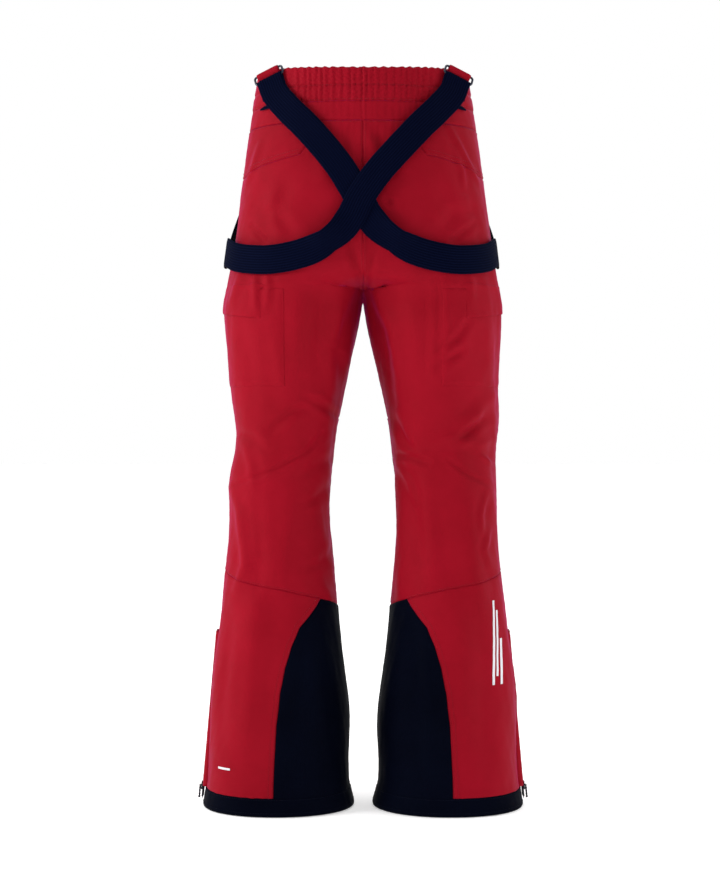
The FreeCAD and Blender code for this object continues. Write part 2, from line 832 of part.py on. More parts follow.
def brace_tab(upper_bar, along, across, normal):
    """A folded tab: an eye around the ring's top bar and a tail sewn behind the ring."""
    width = size("brace_tab_width")
    eye = eye_tube(upper_bar, across, width)
    bar_radius = size("ring_bar") / 2 * math.sqrt(2) + size("eye_clearance")
    tail_thickness = size("eye_wall")
    tail_depth = bar_radius + size("brace_tab_neck")
    neck = Part.makeBox(size("brace_tab_neck"), width, tail_depth, Vector(0, -width / 2, -tail_depth))
    clear = Part.makeCylinder(bar_radius, width + 2, Vector(0, -width / 2 - 1, 0), Vector(0, 1, 0))
    corner = Vector(0, -width / 2, -tail_depth)
    tail = Part.makeBox(size("brace_tab_length"), width, tail_thickness, corner)
    flap = neck.cut(clear).fuse(tail)
    flap.Placement = frame_placement(upper_bar, along, normal)
    return eye.fuse(flap)


# ---------------------------------------------------------------- assembly, checks and files

def check_document():
    doc.recompute()
    for item in doc.Objects:
        failed = [word for word in item.State if word in ("Invalid", "Error")]
        if failed:
            raise RuntimeError("%s is %s" % (item.Label, failed))
    for item in NODES:
        if item.Shape.isNull() or not item.Shape.isValid():
            raise RuntimeError("%s has no valid shape" % item.Label)
        if not item.Shape.Solids:
            raise RuntimeError("%s has no solid" % item.Label)


def write_parts():
    os.makedirs("parts", exist_ok=True)
    for item in NODES:
        item.Shape.exportStep(os.path.join("parts", item.Label + ".step"))


make_shell_panels()
make_inner_layers()
make_gaiters()
make_cargo_pockets()
make_zips()
make_closure()
make_braces()
make_keeper_loops()
check_document()
write_parts()

whole = FreeCAD.BoundBox()
for item in NODES:
    box = item.Shape.BoundBox
    whole.add(box)
    print("%-24s %2d solids %9.1f mm3  x %7.1f %7.1f  y %7.1f %7.1f  z %7.1f %7.1f" % (
        item.Label, len(item.Shape.Solids), item.Shape.Volume,
        box.XMin, box.XMax, box.YMin, box.YMax, box.ZMin, box.ZMax,
    ))
print("whole", whole, "nodes", len(NODES))
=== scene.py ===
import math

import bmesh
import bpy
import numpy as np
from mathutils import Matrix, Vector
from mathutils.bvhtree import BVHTree
from mathutils.kdtree import KDTree


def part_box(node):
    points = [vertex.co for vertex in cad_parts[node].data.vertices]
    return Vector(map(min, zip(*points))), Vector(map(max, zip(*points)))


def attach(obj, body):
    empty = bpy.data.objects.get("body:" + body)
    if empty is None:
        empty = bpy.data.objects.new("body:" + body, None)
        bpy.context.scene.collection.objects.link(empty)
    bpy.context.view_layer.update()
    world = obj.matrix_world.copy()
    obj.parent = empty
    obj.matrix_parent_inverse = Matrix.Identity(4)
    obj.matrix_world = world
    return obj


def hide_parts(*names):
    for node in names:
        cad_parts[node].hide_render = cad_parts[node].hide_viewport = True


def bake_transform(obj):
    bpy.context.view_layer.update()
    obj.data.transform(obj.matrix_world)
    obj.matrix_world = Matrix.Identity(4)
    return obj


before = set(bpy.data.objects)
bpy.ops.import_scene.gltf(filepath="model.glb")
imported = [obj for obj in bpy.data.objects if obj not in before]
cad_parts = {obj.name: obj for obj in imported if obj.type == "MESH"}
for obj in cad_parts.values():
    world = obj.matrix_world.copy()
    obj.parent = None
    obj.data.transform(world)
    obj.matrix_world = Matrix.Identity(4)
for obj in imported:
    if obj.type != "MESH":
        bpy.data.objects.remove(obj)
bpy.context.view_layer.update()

MM = 0.001
ROOT = "pants"
SIDES = {"right": 1, "left": -1}
BACK, FRONT = -1, 1

# Heights of the seams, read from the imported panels.
HEM_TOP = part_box("hem_band_right")[1].z
WAIST_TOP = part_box("waistband_back")[1].z
WAISTBAND_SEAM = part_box("waistband_back")[0].z
BAND_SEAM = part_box("back_band")[0].z
KNEE_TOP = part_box("knee_panel_right")[1].z
KNEE_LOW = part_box("knee_panel_right")[0].z
SIDE_CALF_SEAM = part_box("calf_panel_right")[1].z
CROTCH = 0.742
SHELL_LOW = HEM_TOP - 0.0026    # the leg panels run a little way into the hem bands


# ---------------------------------------------------------------- small helpers

def smooth(low, high, value):
    """0 below low, 1 above high, and a smooth step between."""
    t = np.clip((value - low) / (high - low), 0.0, 1.0)
    return t * t * (3 - 2 * t)


def unit(vectors):
    length = np.linalg.norm(vectors, axis=-1, keepdims=True)
    return vectors / np.maximum(length, 1e-12)


def curve_through(xs, ys):
    """A smooth function through points, with the slope at each from its neighbours."""
    xs = np.asarray(xs, float)
    ys = np.asarray(ys, float)
    slopes = np.gradient(ys, xs)

    def value(x):
        x = np.clip(x, xs[0], xs[-1])
        i = np.clip(np.searchsorted(xs, x) - 1, 0, len(xs) - 2)
        span = xs[i + 1] - xs[i]
        t = (x - xs[i]) / span
        a = (2 * t**3 - 3 * t**2 + 1) * ys[i] + (t**3 - 2 * t**2 + t) * span * slopes[i]
        b = (-2 * t**3 + 3 * t**2) * ys[i + 1] + (t**3 - t**2) * span * slopes[i + 1]
        return a + b

    return value


# ---------------------------------------------------------------- the body's form, from the CAD panels

def triangles(names):
    """The corners of every triangle of some CAD nodes."""
    found = []
    for name in names:
        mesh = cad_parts[name].data
        mesh.calc_loop_triangles()
        co = np.array([v.co for v in mesh.vertices], float)
        index = np.array([t.vertices for t in mesh.loop_triangles], int)
        found.append(co[index])
    return np.concatenate(found)


def slice_extent(corners, height):
    """The extent across and in depth of the cut through triangles at a height."""
    points = []
    for a, b in ((0, 1), (1, 2), (2, 0)):
        p, q = corners[:, a], corners[:, b]
        crossing = (p[:, 2] - height) * (q[:, 2] - height) < 0
        p, q = p[crossing], q[crossing]
        t = (height - p[:, 2]) / (q[:, 2] - p[:, 2])
        points.append(p + (q - p) * t[:, None])
    points = np.concatenate(points)
    return points.min(0), points.max(0)


class Form:
    """The garment's outer surface. s runs from the centre or inner seam, 0, to the side seam, 1."""

    groove_height = {BACK: 0.105, FRONT: 0.085}

    def __init__(self):
        right = [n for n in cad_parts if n.endswith("_right") and "panel" in n]
        leg = triangles(right + ["hem_band_right"])
        trunk = triangles(["back_band", "waistband_back", "waistband_front_right", "hip_yoke_right",
                           "back_panel_right", "front_panel_right"])
        leg_heights = np.concatenate([[0.001], np.linspace(0.03, CROTCH - 0.012, 22)])
        rows = [slice_extent(leg, z) for z in leg_heights]
        self.leg_in = [low[0] for low, high in rows]
        self.leg_out = [high[0] for low, high in rows]
        back = [low[1] for low, high in rows]
        front = [high[1] for low, high in rows]
        trunk_heights = np.linspace(CROTCH + 0.03, WAIST_TOP - 0.001, 12)
        rows = [slice_extent(trunk, z) for z in trunk_heights]
        heights = np.concatenate([leg_heights, trunk_heights])
        self.outer = curve_through(heights, self.leg_out + [high[0] for low, high in rows])
        self.inner = curve_through(leg_heights, self.leg_in)
        self.back = curve_through(heights, back + [low[1] for low, high in rows])
        self.front = curve_through(heights, front + [high[1] for low, high in rows])

    def values(self, half, z):
        """Centre across, half width, half depth, centre in depth, power and end angle at a height."""
        outer = self.outer(z)
        rise = np.clip((z - CROTCH) / self.groove_height[half], 0, 1)
        share = (1 - rise * rise / (rise + 0.045) * 1.045) ** 3.2
        inner = np.maximum(self.inner(np.minimum(z, CROTCH - 0.012)), 0.0) * smooth(0, 0.02, CROTCH - z)
        centre = np.where(z < CROTCH, (outer + inner) / 2, outer / 2 * share)
        width = outer - centre
        middle = (self.front(z) + self.back(z)) / 2
        depth = (self.front(z) - self.back(z)) / 2
        power = 2.0 / (2.15 + 0.35 * smooth(0.70, 0.80, z) * (1 - smooth(0.88, 0.98, z)))
        reach = np.where(z < CROTCH, 1.0, np.clip(centre / width, 0, 1))
        end = np.arccos(-np.clip(reach ** (1 / power), 0, 1))
        return centre, width, depth, middle, power, end

    def point(self, half, s, z):
        """The surface point of the right half."""
        s = np.clip(s, 0, 1)
        centre, width, depth, middle, power, end = self.values(half, z)
        angle = end * (1 - s)
        cosine = np.cos(angle)
        sine = np.abs(np.sin(angle))
        x = centre + width * np.sign(cosine) * np.abs(cosine) ** power
        y = middle + half * depth * sine ** power
        return np.stack([x, y, z + 0 * x], -1)

    def hull(self, half, x, z, lift=0.0):
        """A point over the body's plain outline, without the cleft of the seat, and its outward direction."""
        found = []
        for dx, dz in ((0, 0), (0.0005, 0), (0, 0.0005)):
            height = z + dz
            width = float(self.outer(height))
            front, back = float(self.front(height)), float(self.back(height))
            power = 2.15 + 0.35 * float(smooth(0.70, 0.80, height) * (1 - smooth(0.88, 0.98, height)))
            share = max(0.0, 1 - min(1.0, abs(x + dx) / width) ** power)
            y = (front + back) / 2 + half * (front - back) / 2 * share ** (1 / power)
            found.append(np.array([x + dx, y, height]))
        across, upward = found[1] - found[0], found[2] - found[0]
        normal = unit(np.cross(across, upward)) * -half
        return found[0] + normal * lift, normal

    def normal(self, half, s, z):
        ds = 0.004
        dz = 0.0004
        across = self.point(half, np.minimum(s + ds, 1), z) - self.point(half, np.maximum(s - ds, 0), z)
        upward = self.point(half, s, z + dz) - self.point(half, s, z - dz)
        return unit(np.cross(upward, across)) * half

    def s_at(self, half, x, z):
        """The s of the surface point at a distance across."""
        centre, width, _, _, power, end = self.values(half, np.asarray(z, float))
        share = np.clip((x - centre) / width, -1, 1)
        angle = np.arccos(np.clip(np.sign(share) * np.abs(share) ** (1 / power), -1, 1))
        return np.clip(1 - angle / end, 0, 1)


form = Form()


# ---------------------------------------------------------------- drape: folds of the cloth

def polyline_distance(x, z, points):
    """The distance to a line of points in the front view, and how far along it the nearest place is."""
    best = np.full(x.shape, 9.0)
    along = np.zeros(x.shape)
    lengths = [math.dist(a, b) for a, b in zip(points, points[1:])]
    total = sum(lengths)
    done = 0.0
    for (ax, az), (bx, bz), length in zip(points, points[1:], lengths):
        t = np.clip(((x - ax) * (bx - ax) + (z - az) * (bz - az)) / length**2, 0, 1)
        d = np.hypot(x - ax - t * (bx - ax), z - az - t * (bz - az))
        nearer = d < best
        best = np.where(nearer, d, best)
        along = np.where(nearer, (done + t * length) / total, along)
        done += length
    return best, along


# Folds seen on the back: points across and up in millimetres, height and half width of the fold.
BACK_FOLDS = [
    # the seat
    ([(-20, 955), (-34, 915), (-40, 880)], -2.4, 9),
    ([(18, 958), (34, 920), (44, 885)], -2.4, 9),
    ([(4, 948), (18, 930)], 2.0, 7),
    ([(-96, 812), (-122, 840), (-150, 852)], -2.2, 8),
    ([(100, 812), (128, 842), (158, 850)], -2.2, 8),
    ([(-18, 800), (-10, 770), (-3, 748)], -2.6, 5),
    ([(18, 800), (10, 770), (3, 748)], -2.6, 5),
    ([(-146, 946), (-156, 915), (-166, 890)], 2.4, 4),
    ([(-122, 880), (-128, 850), (-118, 820)], 2.2, 8),
    ([(122, 968), (145, 925), (164, 892)], 2.6, 4),
    ([(130, 936), (140, 906), (142, 880)], 2.0, 4),
    ([(31, 858), (40, 850)], -2.4, 4),
    ([(-156, 826), (-138, 803)], -2.6, 4),
    ([(123, 801), (158, 832)], -2.6, 4),
    # the thighs
    ([(-3, 740), (-22, 690), (-36, 655), (-28, 600), (-36, 576)], -3.4, 8),
    ([(-52, 745), (-54, 690), (-62, 610)], -3.6, 13),
    ([(-92, 740), (-94, 660), (-88, 590)], 3.0, 13),
    ([(-174, 760), (-180, 738), (-184, 718)], 2.8, 5),
    ([(-153, 760), (-151, 738), (-147, 706)], 2.8, 5),
    ([(-136, 760), (-132, 738), (-137, 708)], 2.2, 5),
    ([(-128, 690), (-118, 640), (-108, 590)], 2.4, 11),
    ([(-168, 690), (-160, 640), (-156, 590)], -2.6, 10),
    ([(4, 740), (24, 680), (36, 610), (44, 552)], -3.2, 7),
    ([(14, 742), (40, 680), (56, 600)], 3.0, 9),
    ([(90, 740), (88, 660), (84, 590)], -2.6, 12),
    ([(105, 752), (106, 690), (105, 622)], -1.8, 5),
    ([(148, 758), (152, 742), (150, 722)], 2.4, 6),
    ([(148, 696), (132, 670), (106, 652)], -2.8, 5),
    ([(138, 652), (122, 642), (104, 628)], -2.6, 5),
    ([(172, 690), (176, 640), (170, 590)], 2.6, 10),
    # the knees
    ([(-182, 463), (-141, 479), (-114, 490), (-71, 517)], -2.2, 3),
    ([(-76, 574), (-98, 567), (-118, 550), (-132, 538)], -3.0, 6),
    ([(-28, 556), (-52, 572), (-84, 590)], -3.0, 5),
    ([(-78, 515), (-66, 526), (-56, 538)], -2.6, 4),
    ([(-34, 506), (-62, 492), (-96, 470)], -2.2, 7),
    ([(-186, 540), (-160, 530), (-138, 512)], -2.6, 7),
    ([(-169, 520), (-160, 490), (-156, 462)], 2.4, 6),
    ([(121, 499), (146, 479), (184, 461)], -2.2, 3),
    ([(45, 556), (58, 530), (74, 510)], -3.2, 5),
    ([(46, 507), (70, 503), (92, 495)], -3.2, 4),
    ([(50, 492), (66, 470), (74, 436)], 2.4, 4),
    ([(174, 558), (158, 545), (146, 535), (132, 526)], -3.4, 5),
    ([(190, 598), (166, 570), (140, 548)], 3.0, 8),
    ([(188, 530), (166, 520), (120, 530), (96, 522)], 2.6, 7),
    ([(168, 506), (184, 492)], 2.2, 3),
    # the lower legs
    ([(-187, 458), (-177, 425), (-168, 350), (-180, 318)], 3.0, 6),
    ([(-150, 430), (-146, 360), (-152, 312)], -2.4, 9),
    ([(-104, 440), (-110, 380), (-116, 330)], 2.6, 12),
    ([(-48, 462), (-66, 444), (-84, 436)], -2.4, 6),
    ([(-34, 380), (-60, 352), (-84, 346)], -2.4, 6),
    ([(-60, 322), (-46, 300), (-30, 286)], 2.2, 6),
    ([(46, 470), (56, 380), (50, 318)], 3.4, 8),
    ([(70, 470), (78, 400), (80, 340)], -3.0, 9),
    ([(104, 440), (112, 390), (118, 330)], -2.0, 12),
    ([(176, 452), (166, 420), (168, 396)], 2.2, 4),
    ([(180, 400), (172, 372), (180, 350)], 2.2, 4),
    ([(150, 420), (158, 350), (168, 290)], 2.6, 11),
    ([(-150, 300), (-160, 200), (-166, 80)], 3.0, 13),
    ([(-190, 290), (-196, 200), (-204, 100)], -2.6, 9),
    ([(160, 290), (170, 190), (176, 70)], -2.8, 13),
    ([(-70, 260), (-66, 180), (-60, 90)], 2.4, 12),
    ([(66, 250), (62, 170), (56, 80)], -2.4, 12),
    ([(-84, 230), (-96, 140), (-92, 60)], -2.2, 10),
    ([(88, 220), (96, 140), (90, 60)], 2.2, 10),
]
FRONT_FOLDS = [
    ([(-8, 800), (-50, 778), (-110, 782)], -3.2, 7),
    ([(8, 800), (50, 778), (110, 782)], -3.2, 7),
    ([(-14, 768), (-70, 742), (-130, 748)], -2.6, 6),
    ([(14, 768), (70, 742), (130, 748)], -2.6, 6),
    ([(-34, 720), (-66, 700), (-100, 690)], -2.4, 7),
    ([(34, 724), (66, 702), (100, 694)], -2.4, 7),
    ([(-84, 670), (-100, 630), (-104, 590)], 3.0, 13),
    ([(88, 670), (96, 630), (106, 590)], -3.0, 13),
    ([(-176, 560), (-150, 548), (-128, 552)], -2.6, 6),
    ([(176, 556), (152, 545), (130, 550)], -2.6, 6),
    ([(-60, 436), (-106, 424), (-166, 436)], -3.0, 6),
    ([(60, 440), (110, 426), (168, 432)], -3.0, 6),
    ([(-56, 404), (-90, 392), (-124, 396)], -2.4, 6),
    ([(70, 400), (110, 388), (150, 396)], -2.4, 6),
    ([(-100, 350), (-110, 230), (-112, 90)], 3.2, 13),
    ([(104, 350), (112, 230), (120, 90)], -3.0, 13),
    ([(-160, 330), (-172, 200), (-176, 80)], -3.0, 12),
    ([(160, 330), (172, 200), (178, 80)], 3.0, 12),
]
# Broad bulges: centre, radii and height, in millimetres.
BULGES = [
    ((-196, 0, 532), (40, 90, 46), -5.0),
    ((198, 0, 556), (40, 90, 40), 4.5),
    ((-196, 0, 470), (40, 90, 30), 2.5),
    ((-196, 0, 720), (40, 90, 60), 2.0),
    ((-46, 0, 350), (40, 90, 50), 4.0),
    ((46, 0, 430), (40, 90, 60), -3.0),
    ((-10, 0, 85), (40, 90, 75), 6.5),
    ((-14, 0, 290), (40, 90, 60), 4.0),
    ((22, 0, 200), (40, 90, 75), -5.0),
]


def waves(points, length, seed, count=7):
    """A smooth irregular field between -1 and 1, from sine waves in fixed directions."""
    random = np.random.RandomState(seed)
    total = np.zeros(points.shape[:-1])
    for _ in range(count):
        direction = unit(random.normal(size=3))
        scale = length * random.uniform(0.7, 1.5)
        total += np.sin(points @ direction * (2 * math.pi / scale) + random.uniform(0, 6.28))
    return total / math.sqrt(count * 2)


def fold_height(points, half):
    """How far the cloth stands off its plain form at surface points, in metres."""
    x, y, z = points[..., 0], points[..., 1], points[..., 2]
    middle = (form.front(z) + form.back(z)) / 2
    depth = (form.front(z) - form.back(z)) / 2
    facing = np.clip(half * (y - middle) / depth, 0, 1)
    weight = smooth(0.0, 0.32, facing)
    total = np.zeros(x.shape)
    for line, height, spread in BACK_FOLDS if half == BACK else FRONT_FOLDS:
        route = [(px * MM, pz * MM) for px, pz in line]
        distance, along = polyline_distance(x, z, route)
        ends = np.sqrt(np.clip(np.sin(math.pi * (0.04 + 0.92 * along)), 0, 1))
        offset = distance / (spread * MM)
        shape = np.exp(-(offset**2)) - 0.42 * np.exp(-(((offset - 2.1) / 1.1) ** 2))
        total += height * MM * ends * shape * weight
    for centre, radii, height in BULGES:
        offset = (points - np.array(centre) * MM) / (np.array(radii) * MM)
        total += height * MM * np.exp(-(offset**2).sum(-1))
    stretched = points * np.array([1.0, 1.0, 0.42])
    loose = smooth(0.02, 0.10, z) * (1 - smooth(0.86, 0.96, z))
    total += 0.0022 * loose * waves(stretched, 0.105, 3)
    total += 0.0010 * loose * waves(stretched, 0.042, 5)
    total += 0.00022 * waves(points, 0.017, 9)
    return total


def fly_recess(points, half):
    """The front lies flat, and a little lower, under the fly's zip."""
    x, z = np.abs(points[..., 0]), points[..., 2]
    low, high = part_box("fly_zip_tape")
    along = smooth(low.z - 0.030, low.z - 0.010, z) * (1 - smooth(high.z, high.z + 0.02, z))
    return along * (1 - smooth(0.017, 0.032, x)) if half == FRONT else 0.0 * x


def gather_height(points, half):
    """The shirring of the elastic waistband at the back, and its fading below the band."""
    x, z = points[..., 0], points[..., 2]
    if half != BACK:
        return np.zeros(x.shape)
    angle_length = x + 0.0009 * np.sin(z * 900 + x * 130)
    ripple = np.sin(angle_length * (2 * math.pi / 0.0088) + 1.4 * np.sin(x * 95) + 0.25 * np.sin(z * 160))
    ripple = ripple + 0.5 * np.sin(x * 1130 + 1.1 * np.sin(z * 120 + 1))
    middle = 1 - smooth(0.088, 0.112, np.abs(x))
    strength = smooth(WAISTBAND_SEAM - 0.010, WAISTBAND_SEAM + 0.004, z)
    below = smooth(BAND_SEAM - 0.07, WAISTBAND_SEAM, z) * 0.45
    return 0.0008 * ripple * middle * np.maximum(strength, below)


# ---------------------------------------------------------------- panels

def lines_of(points, count):
    """A boundary's points, spread evenly along its length, as (s, z)."""
    points = np.array(points, float)
    scale = np.array([0.28, 1.0])
    steps = np.linalg.norm(np.diff(points, axis=0) * scale, axis=1)
    length = np.concatenate([[0], np.cumsum(steps)])
    t = np.linspace(0, length[-1], count)
    return np.stack([np.interp(t, length, points[:, 0]), np.interp(t, length, points[:, 1])], -1)


def coons(bottom, top, left, right, us, vs):
    """(s, z) over a panel from its four edges."""
    count = 600
    table = np.linspace(0, 1, count)
    edges = {}
    for name, points in (("b", bottom), ("t", top), ("l", left), ("r", right)):
        edges[name] = lines_of(points, count)

    def at(name, parameter):
        line = edges[name]
        return np.stack([np.interp(parameter, table, line[:, k]) for k in (0, 1)], -1)

    u = us[None, :, None]
    v = vs[:, None, None]
    b, t = at("b", us)[None], at("t", us)[None]
    l, r = at("l", vs)[:, None], at("r", vs)[:, None]
    corners = (
        (1 - u) * (1 - v) * edges["b"][0] + u * (1 - v) * edges["b"][-1]
        + (1 - u) * v * edges["t"][0] + u * v * edges["t"][-1]
    )
    return (1 - v) * b + v * t + (1 - u) * l + u * r - corners


EDGE_ROWS = [0.0, 0.0009, 0.0020, 0.0034, 0.0052]
FIRST_INNER_ROW = 0.0075


def even_steps(measure, step):
    """Parameters 0 to 1 spaced evenly along a measured length, with extra rows near both ends."""
    total = measure[-1]
    count = max(4, int(total / step))
    inner = np.linspace(FIRST_INNER_ROW, total - FIRST_INNER_ROW, count)
    near = np.array(EDGE_ROWS)
    rows = np.concatenate([near, inner, total - near[::-1]])
    rows = rows[(rows >= 0) & (rows <= total)]
    table = np.linspace(0, 1, len(measure))
    return np.interp(np.unique(rows), measure, table)


def grid_of(half, edges, step):
    """A panel's (s, z) grid, fine enough everywhere, from its four edges."""
    bottom, top, left, right = edges
    fine = np.linspace(0, 1, 500)
    coarse = np.array([0.0, 0.04, 0.2, 0.5, 0.8, 0.97, 1.0])
    wide = coons(bottom, top, left, right, fine, coarse)
    tall = coons(bottom, top, left, right, coarse, fine)
    lengths = []
    for grid, axis in ((wide, 1), (tall, 0)):
        points = form.point(half, grid[..., 0], grid[..., 1])
        steps = np.linalg.norm(np.diff(points, axis=axis), axis=-1)
        steps = steps.max(1 - axis)
        lengths.append(np.concatenate([[0], np.cumsum(steps)]))
    us = even_steps(lengths[0], step)
    vs = even_steps(lengths[1], step)
    return coons(bottom, top, left, right, us, vs)


def rim_distance(points, rims):
    """The distance of each point to the nearest sewn edge."""
    rim = np.concatenate([np.asarray(r, float) for r in rims])
    tree = KDTree(len(rim))
    for index, p in enumerate(rim):
        tree.insert(p, index)
    tree.balance()
    flat = points.reshape(-1, 3)
    found = np.array([tree.find(p)[2] for p in flat])
    return found.reshape(points.shape[:-1])


def build_mesh(name, vertices, faces, cloth=None):
    mesh = bpy.data.meshes.new(name)
    mesh.from_pydata([tuple(v) for v in vertices], [], [tuple(f) for f in faces])
    mesh.validate()
    if cloth is not None and len(mesh.vertices) == len(cloth):
        attribute = mesh.attributes.new("cloth", "FLOAT_VECTOR", "POINT")
        attribute.data.foreach_set("vector", np.asarray(cloth, np.float32).ravel())
    for polygon in mesh.polygons:
        polygon.use_smooth = True
    item = bpy.data.objects.new(name, mesh)
    bpy.context.scene.collection.objects.link(item)
    return item


def grid_faces(rows, columns, first, flip):
    i, j = np.meshgrid(np.arange(rows - 1), np.arange(columns - 1), indexing="ij")
    a = first + i * columns + j
    quads = np.stack([a, a + 1, a + columns + 1, a + columns], -1).reshape(-1, 4)
    return quads[:, ::-1] if flip else quads


WELD_DISTANCE = 0.00005


def weld(item):
    work = bmesh.new()
    work.from_mesh(item.data)
    bmesh.ops.remove_doubles(work, verts=work.verts, dist=WELD_DISTANCE)
    work.to_mesh(item.data)
    work.free()


def thicken(item, thickness):
    """Closes a sheet to a thin solid, inwards, and applies it."""
    modifier = item.modifiers.new("thickness", "SOLIDIFY")
    modifier.thickness = thickness
    modifier.offset = -1
    apply_modifiers(item)


def apply_modifiers(item):
    graph = bpy.context.evaluated_depsgraph_get()
    evaluated = item.evaluated_get(graph)
    mesh = bpy.data.meshes.new_from_object(evaluated)
    item.modifiers.clear()
    item.data = mesh


shell_pieces = []


def crotch_lap(points):
    """The halves lie against each other at the crotch, where their rims would leave a slit."""
    x, z = np.abs(points[..., 0]), points[..., 2]
    return 0.0024 * (1 - smooth(0.0, 0.006, x)) * smooth(0.734, 0.744, z) * (1 - smooth(0.79, 0.83, z))


def panel(name, grids, material, lift=0.0, roll=0.0013, roll_width=0.0030, thickness=0.0014, step=0.0028,
          sewn=True, extra=None, node=None, loose=False):
    """A cloth panel from one or more grids, each (side sign, half, four edges, open edges)."""
    parts = []
    rims = []
    for sign, half, edges, open_edges in grids:
        grid = grid_of(half, edges, step)
        s, z = grid[..., 0], grid[..., 1]
        flip = np.array([sign, 1, 1])
        base = form.point(half, s, z) * flip
        normal = form.normal(half, s, z) * flip
        parts.append((sign, half, s, z, base, normal))
        lines = {"bottom": base[0], "top": base[-1], "left": base[:, 0], "right": base[:, -1]}
        rims += [dense(line) for key, line in lines.items() if key not in open_edges]
    vertices, faces, cloth = [], [], []
    first = 0
    for sign, half, s, z, base, normal in parts:
        recess = fly_recess(base, half)
        height = fold_height(base, half) * (1 - recess) - 0.0030 * recess + gather_height(base, half) + lift
        if extra:
            height = height + extra(base, half)
        if sewn and rims:
            distance = rim_distance(base, rims)
            height = height - roll * (1 - smooth(0.0, roll_width, distance)) ** 1.5 + crotch_lap(base)
            pucker = np.exp(-distance / 0.0065) * smooth(0.0, 0.002, distance)
            height = height + 0.00042 * pucker * waves(base, 0.013, 21, 5)
        points = base + normal * height[..., None]
        rows, columns = s.shape
        vertices.append(points.reshape(-1, 3))
        faces.append(grid_faces(rows, columns, first, (sign * half) > 0))
        around = np.cumsum(np.linalg.norm(np.diff(base, axis=1, prepend=base[:, :1]), axis=-1), 1)
        cloth.append(np.stack([around + 0 * z, z, 0 * z], -1).reshape(-1, 3))
        first += rows * columns
    item = build_mesh(name, np.concatenate(vertices), np.concatenate(faces), np.concatenate(cloth))
    if len(grids) > 1:
        weld(item)
    if thickness:
        thicken(item, thickness)
    item.data.materials.append(material)
    if loose:
        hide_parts(node)
    else:
        finish_piece(item, node)
    if sewn and not loose:
        shell_pieces.append(item)
    return item


def dense(line):
    """A line's points with the gaps between them filled."""
    steps = np.linalg.norm(np.diff(line, axis=0), axis=1)
    length = np.concatenate([[0], np.cumsum(steps)])
    t = np.linspace(0, length[-1], max(2, int(length[-1] / 0.0008)))
    return np.stack([np.interp(t, length, line[:, k]) for k in range(3)], -1)


def finish_piece(item, node, body=ROOT):
    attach(item, body)
    if node:
        names = [node] if isinstance(node, str) else node
        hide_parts(*names)


# ---------------------------------------------------------------- materials

def new_material(name):
    material = bpy.data.materials.new(name)
    material.use_nodes = True
    tree = material.node_tree
    shader = tree.nodes["Principled BSDF"]
    return material, tree, shader


def add_node(tree, kind, **sockets):
    item = tree.nodes.new(kind)
    for key, value in sockets.items():
        item.inputs[key.replace("_", " ")].default_value = value
    return item


def set_sockets(shader, **sockets):
    for key, value in sockets.items():
        shader.inputs[key.replace("_", " ")].default_value = value


def threads(tree, direction, pitch, coordinates, **sockets):
    """Parallel threads at a pitch, as a wave between 0 and 1."""
    wave = add_node(tree, "ShaderNodeTexWave", Scale=1 / (pitch * 6.28), **sockets)
    wave.bands_direction = direction
    tree.links.new(coordinates, wave.inputs["Vector"])
    return wave.outputs["Fac"]


def noise(tree, coordinates, **sockets):
    item = add_node(tree, "ShaderNodeTexNoise", **sockets)
    tree.links.new(coordinates, item.inputs["Vector"])
    return item.outputs["Fac"]


def remapped(tree, value, **sockets):
    item = add_node(tree, "ShaderNodeMapRange", **sockets)
    tree.links.new(value, item.inputs["Value"])
    return item.outputs["Result"]


def scaled_sum(tree, scaled, share, plain):
    """scaled * share + plain."""
    item = tree.nodes.new("ShaderNodeMath")
    item.operation = "MULTIPLY_ADD"
    tree.links.new(scaled, item.inputs[0])
    item.inputs[1].default_value = share
    tree.links.new(plain, item.inputs[2])
    return item.outputs[0]


def add_relief(tree, shader, height, strength, distance):
    relief = add_node(tree, "ShaderNodeBump", Strength=strength, Distance=distance)
    tree.links.new(height, relief.inputs["Height"])
    tree.links.new(relief.outputs["Normal"], shader.inputs["Normal"])


def mixed(tree, factor, low, high):
    """A colour between two, by a factor socket."""
    mix = tree.nodes.new("ShaderNodeMix")
    mix.data_type = "RGBA"
    tree.links.new(factor, mix.inputs["Factor"])
    mix.inputs["A"].default_value = (*low, 1)
    mix.inputs["B"].default_value = (*high, 1)
    return mix.outputs["Result"]


def weave_height(tree, thread, coordinates):
    """A plain weave: two sets of threads crossing, as a height between 0 and 1."""
    warp, weft = [threads(tree, way, thread, coordinates, Distortion=0.6, Detail=1.0) for way in ("X", "Z")]
    multiply = tree.nodes.new("ShaderNodeMath")
    multiply.operation = "MULTIPLY"
    tree.links.new(warp, multiply.inputs[0])
    tree.links.new(weft, multiply.inputs[1])
    return multiply.outputs[0]


MOTTLING = 0.35


def fabric(name, dark, light, thread=0.0006, rough=(0.55, 0.75), sheen=0.3, tint=(1, 0.4, 0.5), bump=0.25,
           specular=0.35):
    """A woven cloth: thread relief, slow colour variation and a sheen at grazing angles."""
    material, tree, shader = new_material(name)
    coordinates = tree.nodes.new("ShaderNodeTexCoord").outputs["Object"]
    cloud = noise(tree, coordinates, Scale=9.0, Detail=4.0, Roughness=0.6)
    grain = noise(tree, coordinates, Scale=900.0, Detail=2.0)
    spread = remapped(tree, scaled_sum(tree, grain, MOTTLING, cloud), From_Min=0.35, From_Max=1.05)
    tree.links.new(mixed(tree, spread, dark, light), shader.inputs["Base Color"])
    tree.links.new(remapped(tree, cloud, To_Min=rough[0], To_Max=rough[1]), shader.inputs["Roughness"])
    add_relief(tree, shader, weave_height(tree, thread, coordinates), bump, thread * 0.5)
    set_sockets(shader, Sheen_Weight=sheen, Sheen_Roughness=0.28, Sheen_Tint=(*tint, 1),
                Specular_IOR_Level=specular)
    return material


